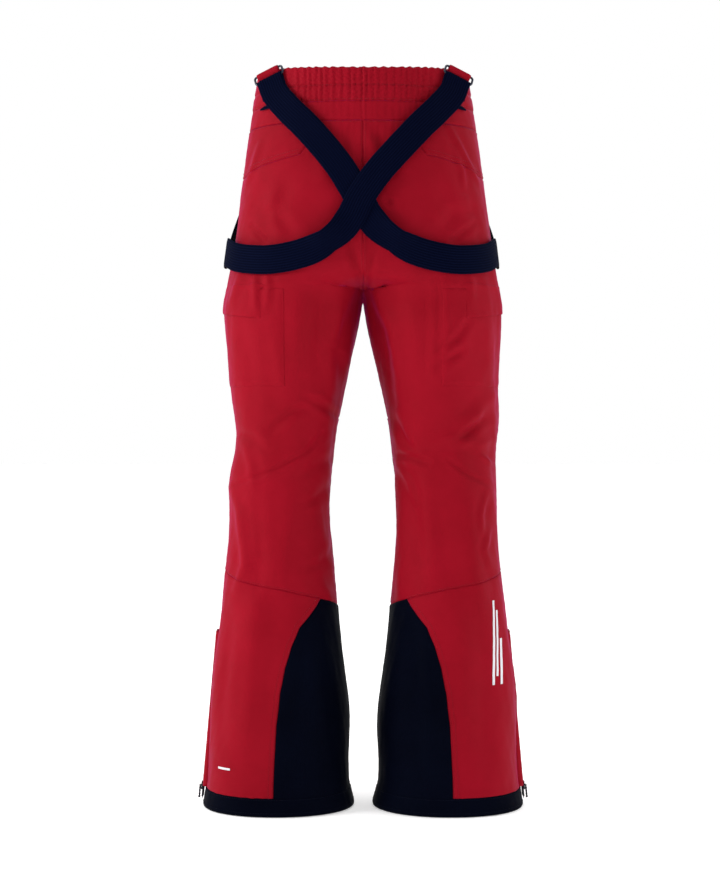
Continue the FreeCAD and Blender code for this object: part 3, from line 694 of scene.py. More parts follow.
def webbing(name, dark, light):
    """Elastic webbing: fine ribs along the strap, crossed by weft threads."""
    material, tree, shader = new_material(name)
    cloth = tree.nodes.new("ShaderNodeAttribute")
    cloth.attribute_name = "cloth"
    ribs = threads(tree, "X", 0.0018, cloth.outputs["Vector"])
    weft = threads(tree, "Y", 0.0011, cloth.outputs["Vector"])
    total = scaled_sum(tree, weft, 0.45, ribs)
    spread = remapped(tree, total, From_Min=0.2, From_Max=1.3)
    tree.links.new(mixed(tree, spread, dark, light), shader.inputs["Base Color"])
    add_relief(tree, shader, total, 0.5, 0.0005)
    set_sockets(shader, Roughness=0.7, Specular_IOR_Level=0.01, Sheen_Weight=0.004,
                Sheen_Tint=(0.3, 0.45, 1.0, 1))
    return material


def moulded(name, colour, rough=0.38, metallic=0.0):
    """Moulded plastic or coated metal, with a faint texture and worn, lighter high spots."""
    material, tree, shader = new_material(name)
    coordinates = tree.nodes.new("ShaderNodeTexCoord").outputs["Object"]
    grain = noise(tree, coordinates, Scale=1400.0, Detail=3.0)
    wear = noise(tree, coordinates, Scale=160.0, Detail=5.0, Roughness=0.7)
    light = tuple(min(1.0, c * 1.9 + 0.01) for c in colour)
    spread = remapped(tree, wear, From_Min=0.52, From_Max=0.75)
    tree.links.new(mixed(tree, spread, colour, light), shader.inputs["Base Color"])
    tree.links.new(remapped(tree, wear, To_Min=rough - 0.08, To_Max=rough + 0.14), shader.inputs["Roughness"])
    add_relief(tree, shader, grain, 0.2, 0.0002)
    set_sockets(shader, Metallic=metallic)
    return material


RED = fabric("red_softshell", (0.225, 0.0016, 0.0080), (0.310, 0.0030, 0.0140), sheen=0.26,
             tint=(1.0, 0.05, 0.52), specular=0.05)
RED_THREAD = fabric("red_thread", (0.20, 0.004, 0.012), (0.30, 0.008, 0.02), thread=0.0003, specular=0.1)
NAVY = fabric("navy_guard", (0.0006, 0.0010, 0.0036), (0.0016, 0.0025, 0.0082), thread=0.0009,
              rough=(0.5, 0.68), sheen=0.003, tint=(0.3, 0.4, 1.0), bump=0.4, specular=0.010)
LINING = fabric("black_lining", (0.010, 0.010, 0.013), (0.022, 0.022, 0.028), thread=0.0004, sheen=0.1,
                tint=(0.7, 0.7, 1.0))
TAPE = fabric("zip_tape", (0.002, 0.003, 0.010), (0.005, 0.007, 0.020), thread=0.0008, bump=0.4,
              specular=0.05, sheen=0.02)
STRAP = webbing("brace_webbing", (0.0007, 0.0013, 0.0070), (0.0020, 0.0035, 0.0165))
PLASTIC = moulded("navy_nylon", (0.0030, 0.0045, 0.015))
STRAP_CORD = fabric("braided_cord", (0.002, 0.003, 0.010), (0.006, 0.009, 0.026), thread=0.0005,
                    specular=0.05)
NAVY_THREAD = fabric("navy_thread", (0.0015, 0.002, 0.007), (0.004, 0.006, 0.018), thread=0.0003,
                     specular=0.05, sheen=0.02)
REFLECTIVE = fabric("reflective_print", (0.62, 0.62, 0.66), (0.80, 0.80, 0.84), thread=0.0006, sheen=0.1,
                    tint=(1, 1, 1), bump=0.1)
METAL_BLUE = moulded("blue_black_ring", (0.005, 0.008, 0.025), rough=0.28)
METAL = moulded("coated_metal", (0.012, 0.013, 0.018), rough=0.3, metallic=0.6)


# ---------------------------------------------------------------- seam lines

def inner_edge(low, high):
    return [(0.0, low), (0.0, high)]


def side_edge(low, high):
    return [(1.0, low), (1.0, high)]


def level_line(z):
    return [(0.0, z), (1.0, z)]


def whole_half(low, high):
    """The four edges of a band from the inner edge to the side seam."""
    return level_line(low), level_line(high), inner_edge(low, high), side_edge(low, high)


def at(half, x, z):
    """A seam point given across and up in millimetres."""
    return (float(form.s_at(half, x * MM, z * MM)), z * MM)


KICK_BACK = [(125, 24.4), (124, 70), (121, 128), (116, 172), (109, 208), (100, 238), (89, 264), (71, 286),
             (60, 302)]
KICK_FRONT = [(84, 24.4), (83, 90), (79, 160), (70, 232), (57, 293)]
YOKE = [(58, 972), (70, 948), (88, 925), (122, 918), (150, 911), (165, 902)]
INNER_KICK = 0.288
YOKE_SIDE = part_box("hip_yoke_right")[0].z


def kick_line(half):
    return [at(half, x, z) for x, z in (KICK_BACK if half == BACK else KICK_FRONT)]


def yoke_line():
    return [at(BACK, x, z) for x, z in YOKE] + [(1.0, YOKE_SIDE)]


def calf_line():
    return [at(BACK, 60, 302), at(BACK, 120, 318), (1.0, SIDE_CALF_SEAM)]


def knee_line(height, rise):
    """A knee seam, which bows by the rise at its middle."""
    return [(0.0, height), (0.5, height + rise), (1.0, height)]


def knee_low():
    return knee_line(KNEE_LOW, 0.012)


def knee_top():
    return knee_line(KNEE_TOP, -0.014)


# ---------------------------------------------------------------- shell

def make_shell():
    for side, sign in SIDES.items():
        shell_back(side, sign)
        shell_guards(side, sign)
        shell_front(side, sign)
    band, waist = [], []
    for sign in SIDES.values():
        band.append((sign, BACK, whole_half(BAND_SEAM, WAISTBAND_SEAM), ("left",)))
        edges = (level_line(WAISTBAND_SEAM), scalloped_top(),
                 inner_edge(WAISTBAND_SEAM, WAIST_TOP - WAIST_DIP), side_edge(WAISTBAND_SEAM, WAIST_TOP))
        waist.append((sign, BACK, edges, ("left",)))
    panel("back_band_cloth", band, RED, node="back_band")
    panel("back_waistband", waist, RED, lift=0.0008, thickness=0.003, step=0.0019, extra=shirring_channels,
          node="waistband_back")


def shell_back(side, sign):
    """Seat and thigh in one panel, the yoke above it and the calf below it."""
    yoke, calf, kick = yoke_line(), calf_line(), kick_line(BACK)
    bottom = [(0.0, INNER_KICK)] + calf
    top = [(0.0, BAND_SEAM)] + yoke
    edges = (bottom, top, inner_edge(INNER_KICK, BAND_SEAM), side_edge(SIDE_CALF_SEAM, YOKE_SIDE))
    panel("seat_and_leg_" + side, [(sign, BACK, edges, ())], RED, node="back_panel_" + side)
    edges = (yoke[2:], [yoke[0], (1.0, BAND_SEAM)], [yoke[2], yoke[1], yoke[0]],
             side_edge(YOKE_SIDE, BAND_SEAM))
    panel("hip_yoke_cloth_" + side, [(sign, BACK, edges, ())], RED, node="hip_yoke_" + side)
    edges = ([kick[0], (1.0, SHELL_LOW)], calf, kick, side_edge(SHELL_LOW, SIDE_CALF_SEAM))
    panel("calf_cloth_" + side, [(sign, BACK, edges, ())], RED, node="calf_panel_" + side)


def shell_guards(side, sign):
    """The navy kick guard on the inner ankle and the navy hem band."""
    guard, hem = [], []
    for half in (BACK, FRONT):
        kick = kick_line(half)
        edges = ([(0.0, SHELL_LOW), kick[0]], [(0.0, INNER_KICK), kick[-1]],
                 inner_edge(SHELL_LOW, INNER_KICK), kick)
        guard.append((sign, half, edges, ("left",)))
        hem.append((sign, half, whole_half(0.0005, HEM_TOP), ("left", "right")))
    panel("kick_guard_" + side, guard, NAVY, lift=0.0006, node="kick_panel_" + side)
    panel("hem_cloth_" + side, hem, NAVY, lift=0.0012, thickness=0.0028, node="hem_band_" + side)


def shell_front(side, sign):
    """Shin, knee, upper front and front waistband."""
    kick = kick_line(FRONT)
    shin_left = kick + [(0.0, INNER_KICK), (0.0, KNEE_LOW)]
    edges = ([kick[0], (1.0, SHELL_LOW)], knee_low(), shin_left, side_edge(SHELL_LOW, KNEE_LOW))
    panel("shin_cloth_" + side, [(sign, FRONT, edges, ())], RED, node="shin_panel_" + side)
    edges = (knee_low(), knee_top(), inner_edge(KNEE_LOW, KNEE_TOP), side_edge(KNEE_LOW, KNEE_TOP))
    panel("knee_cloth_" + side, [(sign, FRONT, edges, ())], RED, node="knee_panel_" + side)
    edges = (knee_top(), level_line(WAISTBAND_SEAM), inner_edge(KNEE_TOP, WAISTBAND_SEAM),
             side_edge(KNEE_TOP, WAISTBAND_SEAM))
    panel("front_cloth_" + side, [(sign, FRONT, edges, ())], RED, node="front_panel_" + side)
    panel("front_waistband_" + side, [(sign, FRONT, whole_half(WAISTBAND_SEAM, WAIST_TOP), ())], RED,
          lift=0.0008, thickness=0.003, node="waistband_front_" + side)


STITCH_ROWS = [WAIST_TOP - 0.031, WAISTBAND_SEAM + 0.002]
WAIST_DIP = 0.0060
SCALLOPS = 19


def scalloped_top():
    """The gathered top edge, which dips at the middle of the back."""
    points = []
    for s in np.linspace(0, 1, 240):
        scallop = 0.0007 * (1 - smooth(0.60, 0.72, s)) * math.cos(2 * math.pi * SCALLOPS * s)
        points.append((s, WAIST_TOP - WAIST_DIP * (1 - smooth(0.0, 0.75, s)) - 0.0007 + scallop))
    points[-1] = (1.0, WAIST_TOP)
    points[0] = (0.0, WAIST_TOP - WAIST_DIP)
    return points


def shirring_channels(points, half):
    """The elastic's channels swell between the rows of stitching."""
    z = points[..., 2]
    swell = np.zeros(z.shape)
    for row in STITCH_ROWS:
        swell -= 0.0016 * np.exp(-(((z - row) / 0.0022) ** 2))
    return swell


# ---------------------------------------------------------------- small solids

def ring_faces(rows, around, closed=False):
    """The faces between rings of points, and back to the first ring when closed."""
    faces = []
    for row in range(rows if closed else rows - 1):
        here, there = row * around, (row + 1) % rows * around
        for k in range(around):
            n = (k + 1) % around
            faces.append((here + k, here + n, there + n, there + k))
    return faces


def capped(rings, turned=False):
    """A solid through open rings of points, as vertices and faces. turned reverses every face."""
    rows, around = len(rings), len(rings[0])
    faces = ring_faces(rows, around)
    faces.append(tuple(range(around))[::-1])
    faces.append(tuple(range((rows - 1) * around, rows * around)))
    return np.concatenate(rings), [face[::-1] for face in faces] if turned else faces


def rounded_box(centre, size, bevel, rows=2):
    """A box with rounded edges, as vertices and faces."""
    work = bmesh.new()
    bmesh.ops.create_cube(work, size=1)
    for vertex in work.verts:
        vertex.co = Vector([vertex.co[k] * size[k] for k in range(3)])
    bmesh.ops.bevel(work, geom=work.edges[:], offset=bevel, segments=rows, affect="EDGES", profile=0.6)
    for vertex in work.verts:
        vertex.co += Vector(centre)
    return mesh_lists(work)


def mesh_lists(work):
    work.verts.index_update()
    vertices = np.array([v.co for v in work.verts])
    faces = [tuple(v.index for v in f.verts) for f in work.faces]
    work.free()
    return vertices, faces


def plate(outline, low, high, bevel):
    """A flat plate with an outline in X and Y, from one height to another, with rounded rims."""
    work = bmesh.new()
    corners = [work.verts.new((x, y, low)) for x, y in outline]
    face = work.faces.new(corners)
    grown = bmesh.ops.extrude_face_region(work, geom=[face])
    for item in grown["geom"]:
        if isinstance(item, bmesh.types.BMVert):
            item.co.z = high
    bmesh.ops.recalc_face_normals(work, faces=work.faces[:])
    rims = [e for e in work.edges if abs(e.verts[0].co.z - e.verts[1].co.z) < 1e-7]
    bmesh.ops.bevel(work, geom=rims, offset=bevel, segments=2, affect="EDGES", profile=0.6)
    return mesh_lists(work)


def tube(path, radius, sides=10, closed=False, twist=None):
    """A round bar along a path. twist gives the radius as a function of angle and distance."""
    path = np.asarray(path, float)
    count = len(path)
    if closed:
        ahead = np.roll(path, -1, 0) - np.roll(path, 1, 0)
    else:
        ahead = np.gradient(path, axis=0)
    ahead = unit(ahead)
    side = np.cross(ahead[0], [0.31, 0.57, 0.76])
    rings = []
    distance = 0.0
    for index in range(count):
        side = unit(side - ahead[index] * (side @ ahead[index]))
        other = np.cross(ahead[index], side)
        if index:
            distance += np.linalg.norm(path[index] - path[index - 1])
        angle = np.arange(sides) * 2 * math.pi / sides
        reach = np.full(sides, radius) if twist is None else twist(angle, distance)
        around = np.cos(angle)[:, None] * side + np.sin(angle)[:, None] * other
        rings.append(path[index] + reach[:, None] * around)
    return (np.concatenate(rings), ring_faces(count, sides, True)) if closed else capped(rings)


def combine(parts):
    vertices, faces, first = [], [], 0
    for points, polygons in parts:
        vertices.append(np.asarray(points, float))
        faces += [tuple(int(i) + first for i in polygon) for polygon in polygons]
        first += len(points)
    return np.concatenate(vertices), faces


class Place:
    """A local frame: x along, y across, z out of the garment."""

    def __init__(self, origin, x, z):
        self.origin = np.asarray(origin, float)
        self.x = unit(np.asarray(x, float))
        self.z = unit(np.asarray(z, float) - self.x * (np.asarray(z, float) @ self.x))
        self.y = np.cross(self.z, self.x)

    def __call__(self, points):
        points = np.asarray(points, float)
        return self.origin + points[..., :1] * self.x + points[..., 1:2] * self.y + points[..., 2:3] * self.z

    def moved(self, x=0.0, z=0.0):
        return Place(self([x, 0.0, z]), self.x, self.z)


def node_points(name):
    return np.array([v.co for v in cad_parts[name].data.vertices], float)


def block_frame(points, outward, down=(0, 0, -1)):
    """The local frame of a block, with x on its long side and z on its thin side, and its size."""
    corners = np.unique(np.round(points, 7), axis=0)
    centre = corners.mean(0)
    axes = np.linalg.eigh(np.cov((corners - centre).T))[1]
    x, z = axes[:, 2], axes[:, 0]
    x = x if x @ np.asarray(down, float) > 0 else -x
    z = z if z @ np.asarray(outward, float) > 0 else -z
    place = Place(centre, x, z)
    spread = np.stack([(corners - centre) @ axis for axis in (place.x, place.y, place.z)], -1)
    return place, spread.max(0) - spread.min(0)


def part(name, parts, material, body=ROOT, node=None, place=None, flat=False):
    """One piece from small solids, put in its place."""
    vertices, faces = combine(parts)
    if place is not None:
        vertices = place(vertices)
    item = build_mesh(name, vertices, faces)
    if flat:
        for polygon in item.data.polygons:
            polygon.use_smooth = False
    item.data.materials.append(material)
    finish_piece(item, node, body)
    return item


def ribbon(name, path, normals, width, thickness, material, node=None, columns=9,
           step=0.0026, taper=None):
    """A flat strap along a path with rounded edges. Returns the piece and its length."""
    path = np.asarray(path, float)
    normals = np.asarray(normals, float)
    gaps = np.linalg.norm(np.diff(path, axis=0), axis=1)
    length = np.concatenate([[0], np.cumsum(gaps)])
    t = np.linspace(0, length[-1], max(8, int(length[-1] / step)))
    line = np.stack([curve_through(length, path[:, k])(t) for k in range(3)], -1)
    facing = np.stack([np.interp(t, length, normals[:, k]) for k in range(3)], -1)
    ahead = unit(np.gradient(line, axis=0))
    across = unit(np.cross(facing, ahead))
    outward = np.cross(ahead, across)
    place_across = np.linspace(-1, 1, columns)
    skin = np.where(np.abs(place_across) > 0.99, 0.35, np.where(np.abs(place_across) > 0.86, 1.12, 1.0))
    widths = width * (taper(t / t[-1]) if taper else np.ones(len(t)))
    rows = []
    for index in range(len(t)):
        offsets = across[index] * (place_across * widths[index] / 2)[:, None]
        lift = outward[index] * (skin * thickness / 2)[:, None]
        rows.append(np.concatenate([line[index] + offsets + lift, (line[index] + offsets - lift)[::-1]]))
    around = 2 * columns
    faces = ring_faces(len(t), around)
    last = (len(t) - 1) * around
    for k in range(columns - 1):
        faces.append((k + 1, k, around - 1 - k, around - 2 - k))
        faces.append((last + k, last + k + 1, last + around - 2 - k, last + around - 1 - k))
    sides = np.concatenate([place_across, place_across[::-1]]) * width / 2
    cloth = np.stack([np.tile(sides, len(t)), np.repeat(t, around), np.zeros(len(t) * around)], -1)
    item = build_mesh(name, np.concatenate(rows), faces, cloth)
    item.data.materials.append(material)
    finish_piece(item, node)
    return item, float(length[-1])


# ---------------------------------------------------------------- zips

TEETH_PITCH = 0.0020
TAPE_REACH = 0.0130
PIVOT_ALONG, PIVOT_RISE = 0.0060, 0.0058    # where a pull hangs on its slider, from the slider's top end


def zip_place(node, outward):
    """A zip's frame, from its tape: x runs down the zip, and the tape's back is at z 0."""
    place, size = block_frame(node_points(node), outward)
    return place.moved(x=-size[0] / 2, z=-size[2] / 2), size[0]


def tape_half(length, side):
    """Half of a zip's tape: a flat woven band with a thicker edge beside the teeth."""
    profile = [(0.0006, 0.0002), (0.0006, 0.0013), (0.0018, 0.0014), (0.0024, 0.0009), (TAPE_REACH, 0.0008),
               (TAPE_REACH, 0.0)]
    count = max(4, int(length / 0.004))
    rings = [[(x, side * y, z) for y, z in profile] for x in np.linspace(0, length, count)]
    return capped(rings, turned=side > 0)


def teeth(length, place):
    """Interlocked teeth along a zip, with a stop at each end."""
    tooth, faces = rounded_box((0, 0, 0), (0.0013, 0.0032, 0.0017), 0.0003, 1)
    parts = []
    for index, x in enumerate(np.arange(0.003, length - 0.003, TEETH_PITCH / 2)):
        side = 1 if index % 2 else -1
        parts.append((place(tooth + np.array([x, side * 0.0009, 0.0017])), faces))
    for x in (0.0015, length - 0.0015):
        stop, stop_faces = rounded_box((x, 0, 0.0017), (0.0026, 0.0056, 0.0018), 0.0005)
        parts.append((place(stop), stop_faces))
    return parts


def slider_parts(start):
    """A zip slider: a tapered top plate, two cheeks beside the teeth and a bridge for the pull."""
    nose = [(0, -0.0045), (0, 0.0045), (0.004, 0.0045), (0.012, 0.0034), (0.012, -0.0034), (0.004, -0.0045)]
    top = plate([(x + start, y) for x, y in nose], 0.0030, 0.00415, 0.0004)
    parts = [top]
    for side in (-1, 1):
        wall = [(0.0004, 0.0031), (0.0004, 0.0043), (0.0115, 0.0042), (0.0115, 0.0031)]
        parts.append(plate([(start + x, side * y) for x, y in wall], 0.00118, 0.0032, 0.0003))
    middle, rise = start + PIVOT_ALONG, PIVOT_RISE
    half = [(0.0036, 0.0040), (0.0036, 0.0050), (0.0033, rise - 0.0002), (0.0028, rise)]
    bridge = [(-y, z) for y, z in half] + [(0.0, rise)] + half[::-1]
    parts.append(tube([(middle, y, z) for y, z in bridge], 0.0005, 8))
    return parts


def eye(aside):
    """A pull's two wire rings around its pivot at 0."""
    turn = np.linspace(0, 2 * math.pi, 17)[:-1]
    return [tube([(0.00115 * math.cos(a), y, 0.00115 * math.sin(a)) for a in turn], 0.00028, 8, True)
            for y in (-aside, aside)]


def blade_parts():
    """A flat zip pull: an eye, a rounded blade and grip ribs. Its pivot is at 0."""
    parts = eye(0.0019)
    outline = [(0.0011, -0.0017), (0.0011, 0.0017), (0.006, 0.0025), (0.0235, 0.0025), (0.0253, 0.0019),
               (0.026, 0.0007), (0.026, -0.0007), (0.0253, -0.0019), (0.0235, -0.0025), (0.006, -0.0025)]
    parts.append(plate(outline, -0.0006, 0.0006, 0.0003))
    for x in (0.011, 0.014, 0.017, 0.020):
        parts.append(rounded_box((x, 0, 0.00055), (0.0011, 0.0036, 0.0006), 0.0002, 1))
    return parts


def knotted_parts():
    """A leg zip's pull: a wire eye and a stiff two-strand cord that ends in a knot."""
    parts = eye(0.0018)
    path = [(x, 0, 0) for x in np.linspace(0.0012, 0.0165, 40)]
    parts.append(tube(path, 0.0014, 16, False, lambda a, d: 0.00130 + 0.00018 * np.cos(2 * a - d * 1500)))
    knot = [(0.0150 + 0.0032 * k / 14, 0, 0) for k in range(15)]
    parts.append(tube(knot, 0.0017, 16, False,
                      lambda a, d: (0.0008 + 0.0010 * math.sin(math.pi * min(1.0, d / 0.0032)))
                      * (1 + 0.10 * np.cos(3 * a + d * 1800))))
    return parts


WELT_START = 0.0048


def welt_profile(middle, outer):
    """A folded edge's section, across and up, from over the tape down to the cloth at two distances."""
    section = [(0.0, 0.0010), (-0.0001, 0.0014), (0.0006, 0.0018), (0.0020, 0.0019), (0.0055, 0.0018),
               (0.0086, max(0.0014, middle + 0.0006)),
               (0.0110, max(0.0002, 0.5 * (middle + outer) + 0.0008)),
               (0.0150, outer + 0.0002), (0.0145, outer - 0.0010), (0.0060, -0.0006)]
    return [(WELT_START + aside, up) for aside, up in section]


def welt(name, place, low, high, drop, skin):
    """Folded cloth edges along both sides of a zip, from over the tape down to the garment."""
    xs = np.linspace(low, high, max(8, int((high - low) / 0.003)))
    parts = []
    for side in (-1, 1):
        rings = []
        for x in xs:
            ripple = 0.00018 * math.sin(x * 310 + side) + 0.00010 * math.sin(x * 720)
            middle = skin.level(place, x, side * (WELT_START + 0.0095), -drop)
            outer = skin.level(place, x, side * (WELT_START + 0.0150), -drop)
            profile = welt_profile(middle, outer)
            rings.append([(x, side * y, z + ripple) for y, z in profile])
        parts.append(capped(rings, turned=side > 0))
    return part(name, parts, RED, place=place)


def make_zips():
    all_teeth = []
    skin = Skin()
    zips = [("fly", "fly_zip_tape", (0, 1, 0), None)]
    for side, sign in SIDES.items():
        zips.append(("pocket_" + side, "pocket_zip_tape_" + side, (sign * 0.3, 1, 0), 0.0052))
        zips.append(("leg_" + side, "leg_zip_tape_" + side, (sign, 0, 0), 0.0028))
    for label, node, outward, drop in zips:
        place, length = zip_place(node, outward)
        part(label + "_tape_weave", [tape_half(length, 1), tape_half(length, -1)], TAPE, place=place,
             node=node, flat=True)
        all_teeth += teeth(length, place)
        if drop is not None:
            low, high = place([0, 0, 0])[2], place([length, 0, 0])[2]
            end = length + 0.006 if high > HEM_TOP else length * (low - HEM_TOP) / (low - high) - 0.001
            welt(label + "_zip_welt", place, -0.006, end, drop, skin)
        slider = "fly_slider" if label == "fly" else label.replace("_", "_slider_")
        pull = "fly_pull" if label == "fly" else label.replace("_", "_pull_")
        start = ((node_points(slider) - place.origin) @ place.x).min()
        part(slider + "_cast", slider_parts(start), METAL, body=slider, node=slider,
             place=place)
        pivot = place.moved(x=start + PIVOT_ALONG, z=PIVOT_RISE)
        leg = label.startswith("leg")
        part(pull + "_shaped", knotted_parts() if leg else blade_parts(), STRAP_CORD if leg else METAL,
             body="fly_slider" if label == "fly" else pull, node=pull,
             place=pivot)
    part("zip_teeth", all_teeth, PLASTIC, node="zip_coils", flat=True)


# ---------------------------------------------------------------- pockets, flaps and prints on the legs

def side_patch(low, high, edge, side_lift=0.0):
    """The four edges of a patch that wraps a side seam, for the back and front halves."""
    found = []
    for half in (BACK, FRONT):
        bottom = [at(half, edge, low), (1.0, (low + side_lift) * MM)]
        top = [at(half, edge, high), (1.0, high * MM)]
        left = [at(half, edge, low + (high - low) * k / 6) for k in range(7)]
        found.append((half, (bottom, top, left, side_edge((low + side_lift) * MM, high * MM)), ("right",)))
    return found


# The cargo pockets and their flaps: low, high and the edge on the leg, in millimetres.
POCKET = (603, 737, 110)
FLAP = (697, 746, 143)
FLAP_SLANT = 13


def make_cargo_pockets():
    for side, sign in SIDES.items():
        grids = [(sign, half, edges, opened) for half, edges, opened in side_patch(*POCKET)]
        panel("cargo_pocket_cloth_" + side, grids, RED, lift=0.0012, roll=0.0009, roll_width=0.0080,
              thickness=0.0009, node="cargo_pocket_" + side)
        grids = [(sign, half, edges, opened) for half, edges, opened in side_patch(*FLAP, FLAP_SLANT)]
        flap = panel("cargo_flap_cloth_" + side, grids, RED, lift=0.0029, roll=0.0003, thickness=0.0010,
                     extra=flap_relief, node="cargo_flap_" + side, loose=True)
        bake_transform(flap)


def flap_relief(points, half):
    """The flap lies on the leg along its sewn top and at its corners, and stands off along its free edge."""
    x, z = np.abs(points[..., 0]), points[..., 2]
    top = -0.0024 * smooth(0.716, 0.744, z)
    corners = -0.0013 * (1 - smooth(0.143, 0.156, x)) * (1 - smooth(0.716, 0.744, z))
    return top + corners + 0.0006 * (1 - smooth(0.699, 0.712, z)) * smooth(0.150, 0.165, x)


# Plain reflective bars low on the legs, where the garment is printed: side, low, high, inner and outer edge.
BARS = [
    ("right", 182, 300, 183, 186), ("right", 194, 286, 188.5, 191), ("right", 182, 246, 194, 197),
    ("left", 62, 65, 188, 205),
]


def make_prints():
    for index, (side, low, high, inner, outer) in enumerate(BARS):
        edges = ([at(BACK, inner, low), at(BACK, outer, low)], [at(BACK, inner, high), at(BACK, outer, high)],
                 [at(BACK, inner, low), at(BACK, inner, high)], [at(BACK, outer, low), at(BACK, outer, high)])
        panel("reflective_bar_%d" % index, [(SIDES[side], BACK, edges, ())], REFLECTIVE, lift=0.0003,
              thickness=0.0002, sewn=False, step=0.0016)


# ---------------------------------------------------------------- inner layers

def make_inner_layers():
    low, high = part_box("lining")[0].z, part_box("lining")[1].z
    grids = [(sign, half, whole_half(low, high), ("left", "right"))
             for sign in SIDES.values() for half in (BACK, FRONT)]
    panel("lining_cloth", grids, LINING, lift=-0.0046, thickness=0.0009, step=0.0075, sewn=False,
          node="lining")
    low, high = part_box("waist_elastic")[0].z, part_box("waist_elastic")[1].z
    grids = [(sign, BACK, whole_half(low, high), ("left",)) for sign in SIDES.values()]
    panel("waist_elastic_knit", grids, LINING, lift=-0.0031, thickness=0.0010, step=0.004, sewn=False,
          node="waist_elastic")
    for side, sign in SIDES.items():
        edges = ([at(FRONT, 70, 830), at(FRONT, 135, 830)], [at(FRONT, 85, 985), at(FRONT, 135, 985)],
                 [at(FRONT, 70, 830), at(FRONT, 74, 960), at(FRONT, 85, 985)],
                 [at(FRONT, 135, 830), at(FRONT, 135, 985)])
        panel("pocket_bag_cloth_" + side, [(sign, FRONT, edges, ())], LINING, lift=-0.0026, thickness=0.0009,
              step=0.005, sewn=False, node="pocket_bag_" + side)
        make_gaiter(side)


def make_gaiter(side):
    """A snow gaiter: a cloth tube inside the leg, gathered onto an elastic at its lower edge."""
    low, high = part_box("gaiter_" + side)
    elastic_low, elastic_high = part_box("gaiter_elastic_" + side)
    points = node_points("gaiter_" + side)
    top = points[points[:, 2] > high.z - 0.001]
    foot = points[points[:, 2] < low.z + 0.001]
    centres = [(rim.max(0) + rim.min(0)) / 2 for rim in (foot, top)]
    reaches = [(rim.max(0) - rim.min(0)) / 2 for rim in (foot, top)]
    angle = np.arange(160) * 2 * math.pi / 160
    rings = []
    for share in np.linspace(0, 1, 46):
        centre = centres[0] * (1 - share) + centres[1] * share
        reach = reaches[0] * (1 - share) + reaches[1] * share
        near_foot = math.exp(-share * 5)
        gather = (0.0012 * np.sin(angle * 32 + np.sin(angle * 3)) - 0.0016) * near_foot
        z = low.z + (high.z - low.z) * share
        rings.append(oval(centre, (reach[0] + gather, reach[1] + gather), angle, z))
    lining_tube("gaiter_cloth_" + side, rings, 0.0008, "gaiter_" + side)

    rings = []
    centre = (elastic_low + elastic_high) / 2
    for share in np.linspace(0, 1, 12):
        reach_x = (elastic_high.x - elastic_low.x) / 2 - 0.0006
        reach_y = (elastic_high.y - elastic_low.y) / 2 - 0.0006
        ripple = 0.0004 * np.sin(angle * 40) * math.sin(math.pi * share)
        z = elastic_low.z + (elastic_high.z - elastic_low.z) * share
        rings.append(oval(centre, (reach_x + ripple, reach_y + ripple), angle, z))
    lining_tube("gaiter_elastic_knit_" + side, rings, 0.0010, "gaiter_elastic_" + side)


def oval(centre, reach, angle, z):
    """A level ring of points around a centre, with its reach in X and in Y."""
    return np.stack([centre[0] + reach[0] * np.cos(angle), centre[1] + reach[1] * np.sin(angle),
                     np.full(len(angle), z)], -1)


def lining_tube(name, rings, thickness, node):
    """An open tube of lining cloth through rings of points."""
    item = build_mesh(name, np.concatenate(rings), ring_faces(len(rings), len(rings[0])))
    thicken(item, thickness)
    item.data.materials.append(LINING)
    finish_piece(item, node)


# ---------------------------------------------------------------- front closure

def front_sheet(name, columns, rows, lift_at, thickness, material, node):
    """A flap on the front: rows of points across, each lifted off the garment by lift_at(x, z)."""
    grid = np.array([[form.hull(FRONT, x, z, lift_at(x, z))[0] for x in columns(z)] for z in rows])
    count = grid.shape[1]
    item = build_mesh(name, grid.reshape(-1, 3), grid_faces(len(rows), count, 0, False))
    thicken(item, thickness)
    item.data.materials.append(material)
    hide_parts(node)
    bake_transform(item)
    return item


def make_closure():
    low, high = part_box("fly_placket")

    def placket_columns(z):
        foot = smooth(low.z, low.z + 0.020, z)
        right = 0.022 * (0.55 + 0.45 * float(foot))
        return np.concatenate([np.linspace(-0.034, -0.0225, 8), np.linspace(-0.021, right, 22)])

    def placket_lift(x, z):
        rise = float(smooth(-0.033, -0.0225, x))
        edge = float(smooth(0.0, 0.024, abs(x))) * 0.0034
        ripple = 0.0005 * math.sin(z * 130) * math.sin(x * 60 + 1)
        return -0.001 + rise * (0.0124 - edge) + ripple

    rows = np.linspace(low.z, high.z, 70)
    front_sheet("fly_placket_cloth", placket_columns, rows, placket_lift, 0.0020, RED, "fly_placket")

    low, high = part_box("waist_tab")

    def tab_columns(z):
        half = (high.z - low.z) / 2
        off = abs(z - (low.z + half)) / half
        right = high.x - 0.006 * float(smooth(0.55, 1.0, off))
        return np.concatenate([np.linspace(-0.052, -0.0398, 6), np.linspace(-0.037, right, 30)])

    def tab_lift(x, z):
        rise = float(smooth(-0.050, -0.0395, x))
        return 0.0002 + rise * 0.0047 + 0.0002 * math.sin(z * 260) * math.sin(x * 90)

    rows = np.linspace(low.z, high.z, 20)
    front_sheet("waist_tab_cloth", tab_columns, rows, tab_lift, 0.0022, RED, "waist_tab")

    for node, radius, body in (("waist_snap_caps", 0.0075, "waist_tab"), ("waist_snap_studs", 0.0024, ROOT)):
        points = node_points(node)
        split = (points[:, 0].max() + points[:, 0].min()) / 2
        caps = []
        for chosen in (points[points[:, 0] < split], points[points[:, 0] > split]):
            place, size = block_frame(chosen, (0, 1, 0), (1, 0, 0))
            caps.append(snap(place, radius, size[2]))
        part(node + "_pressed", caps, METAL, body=body, node=node)


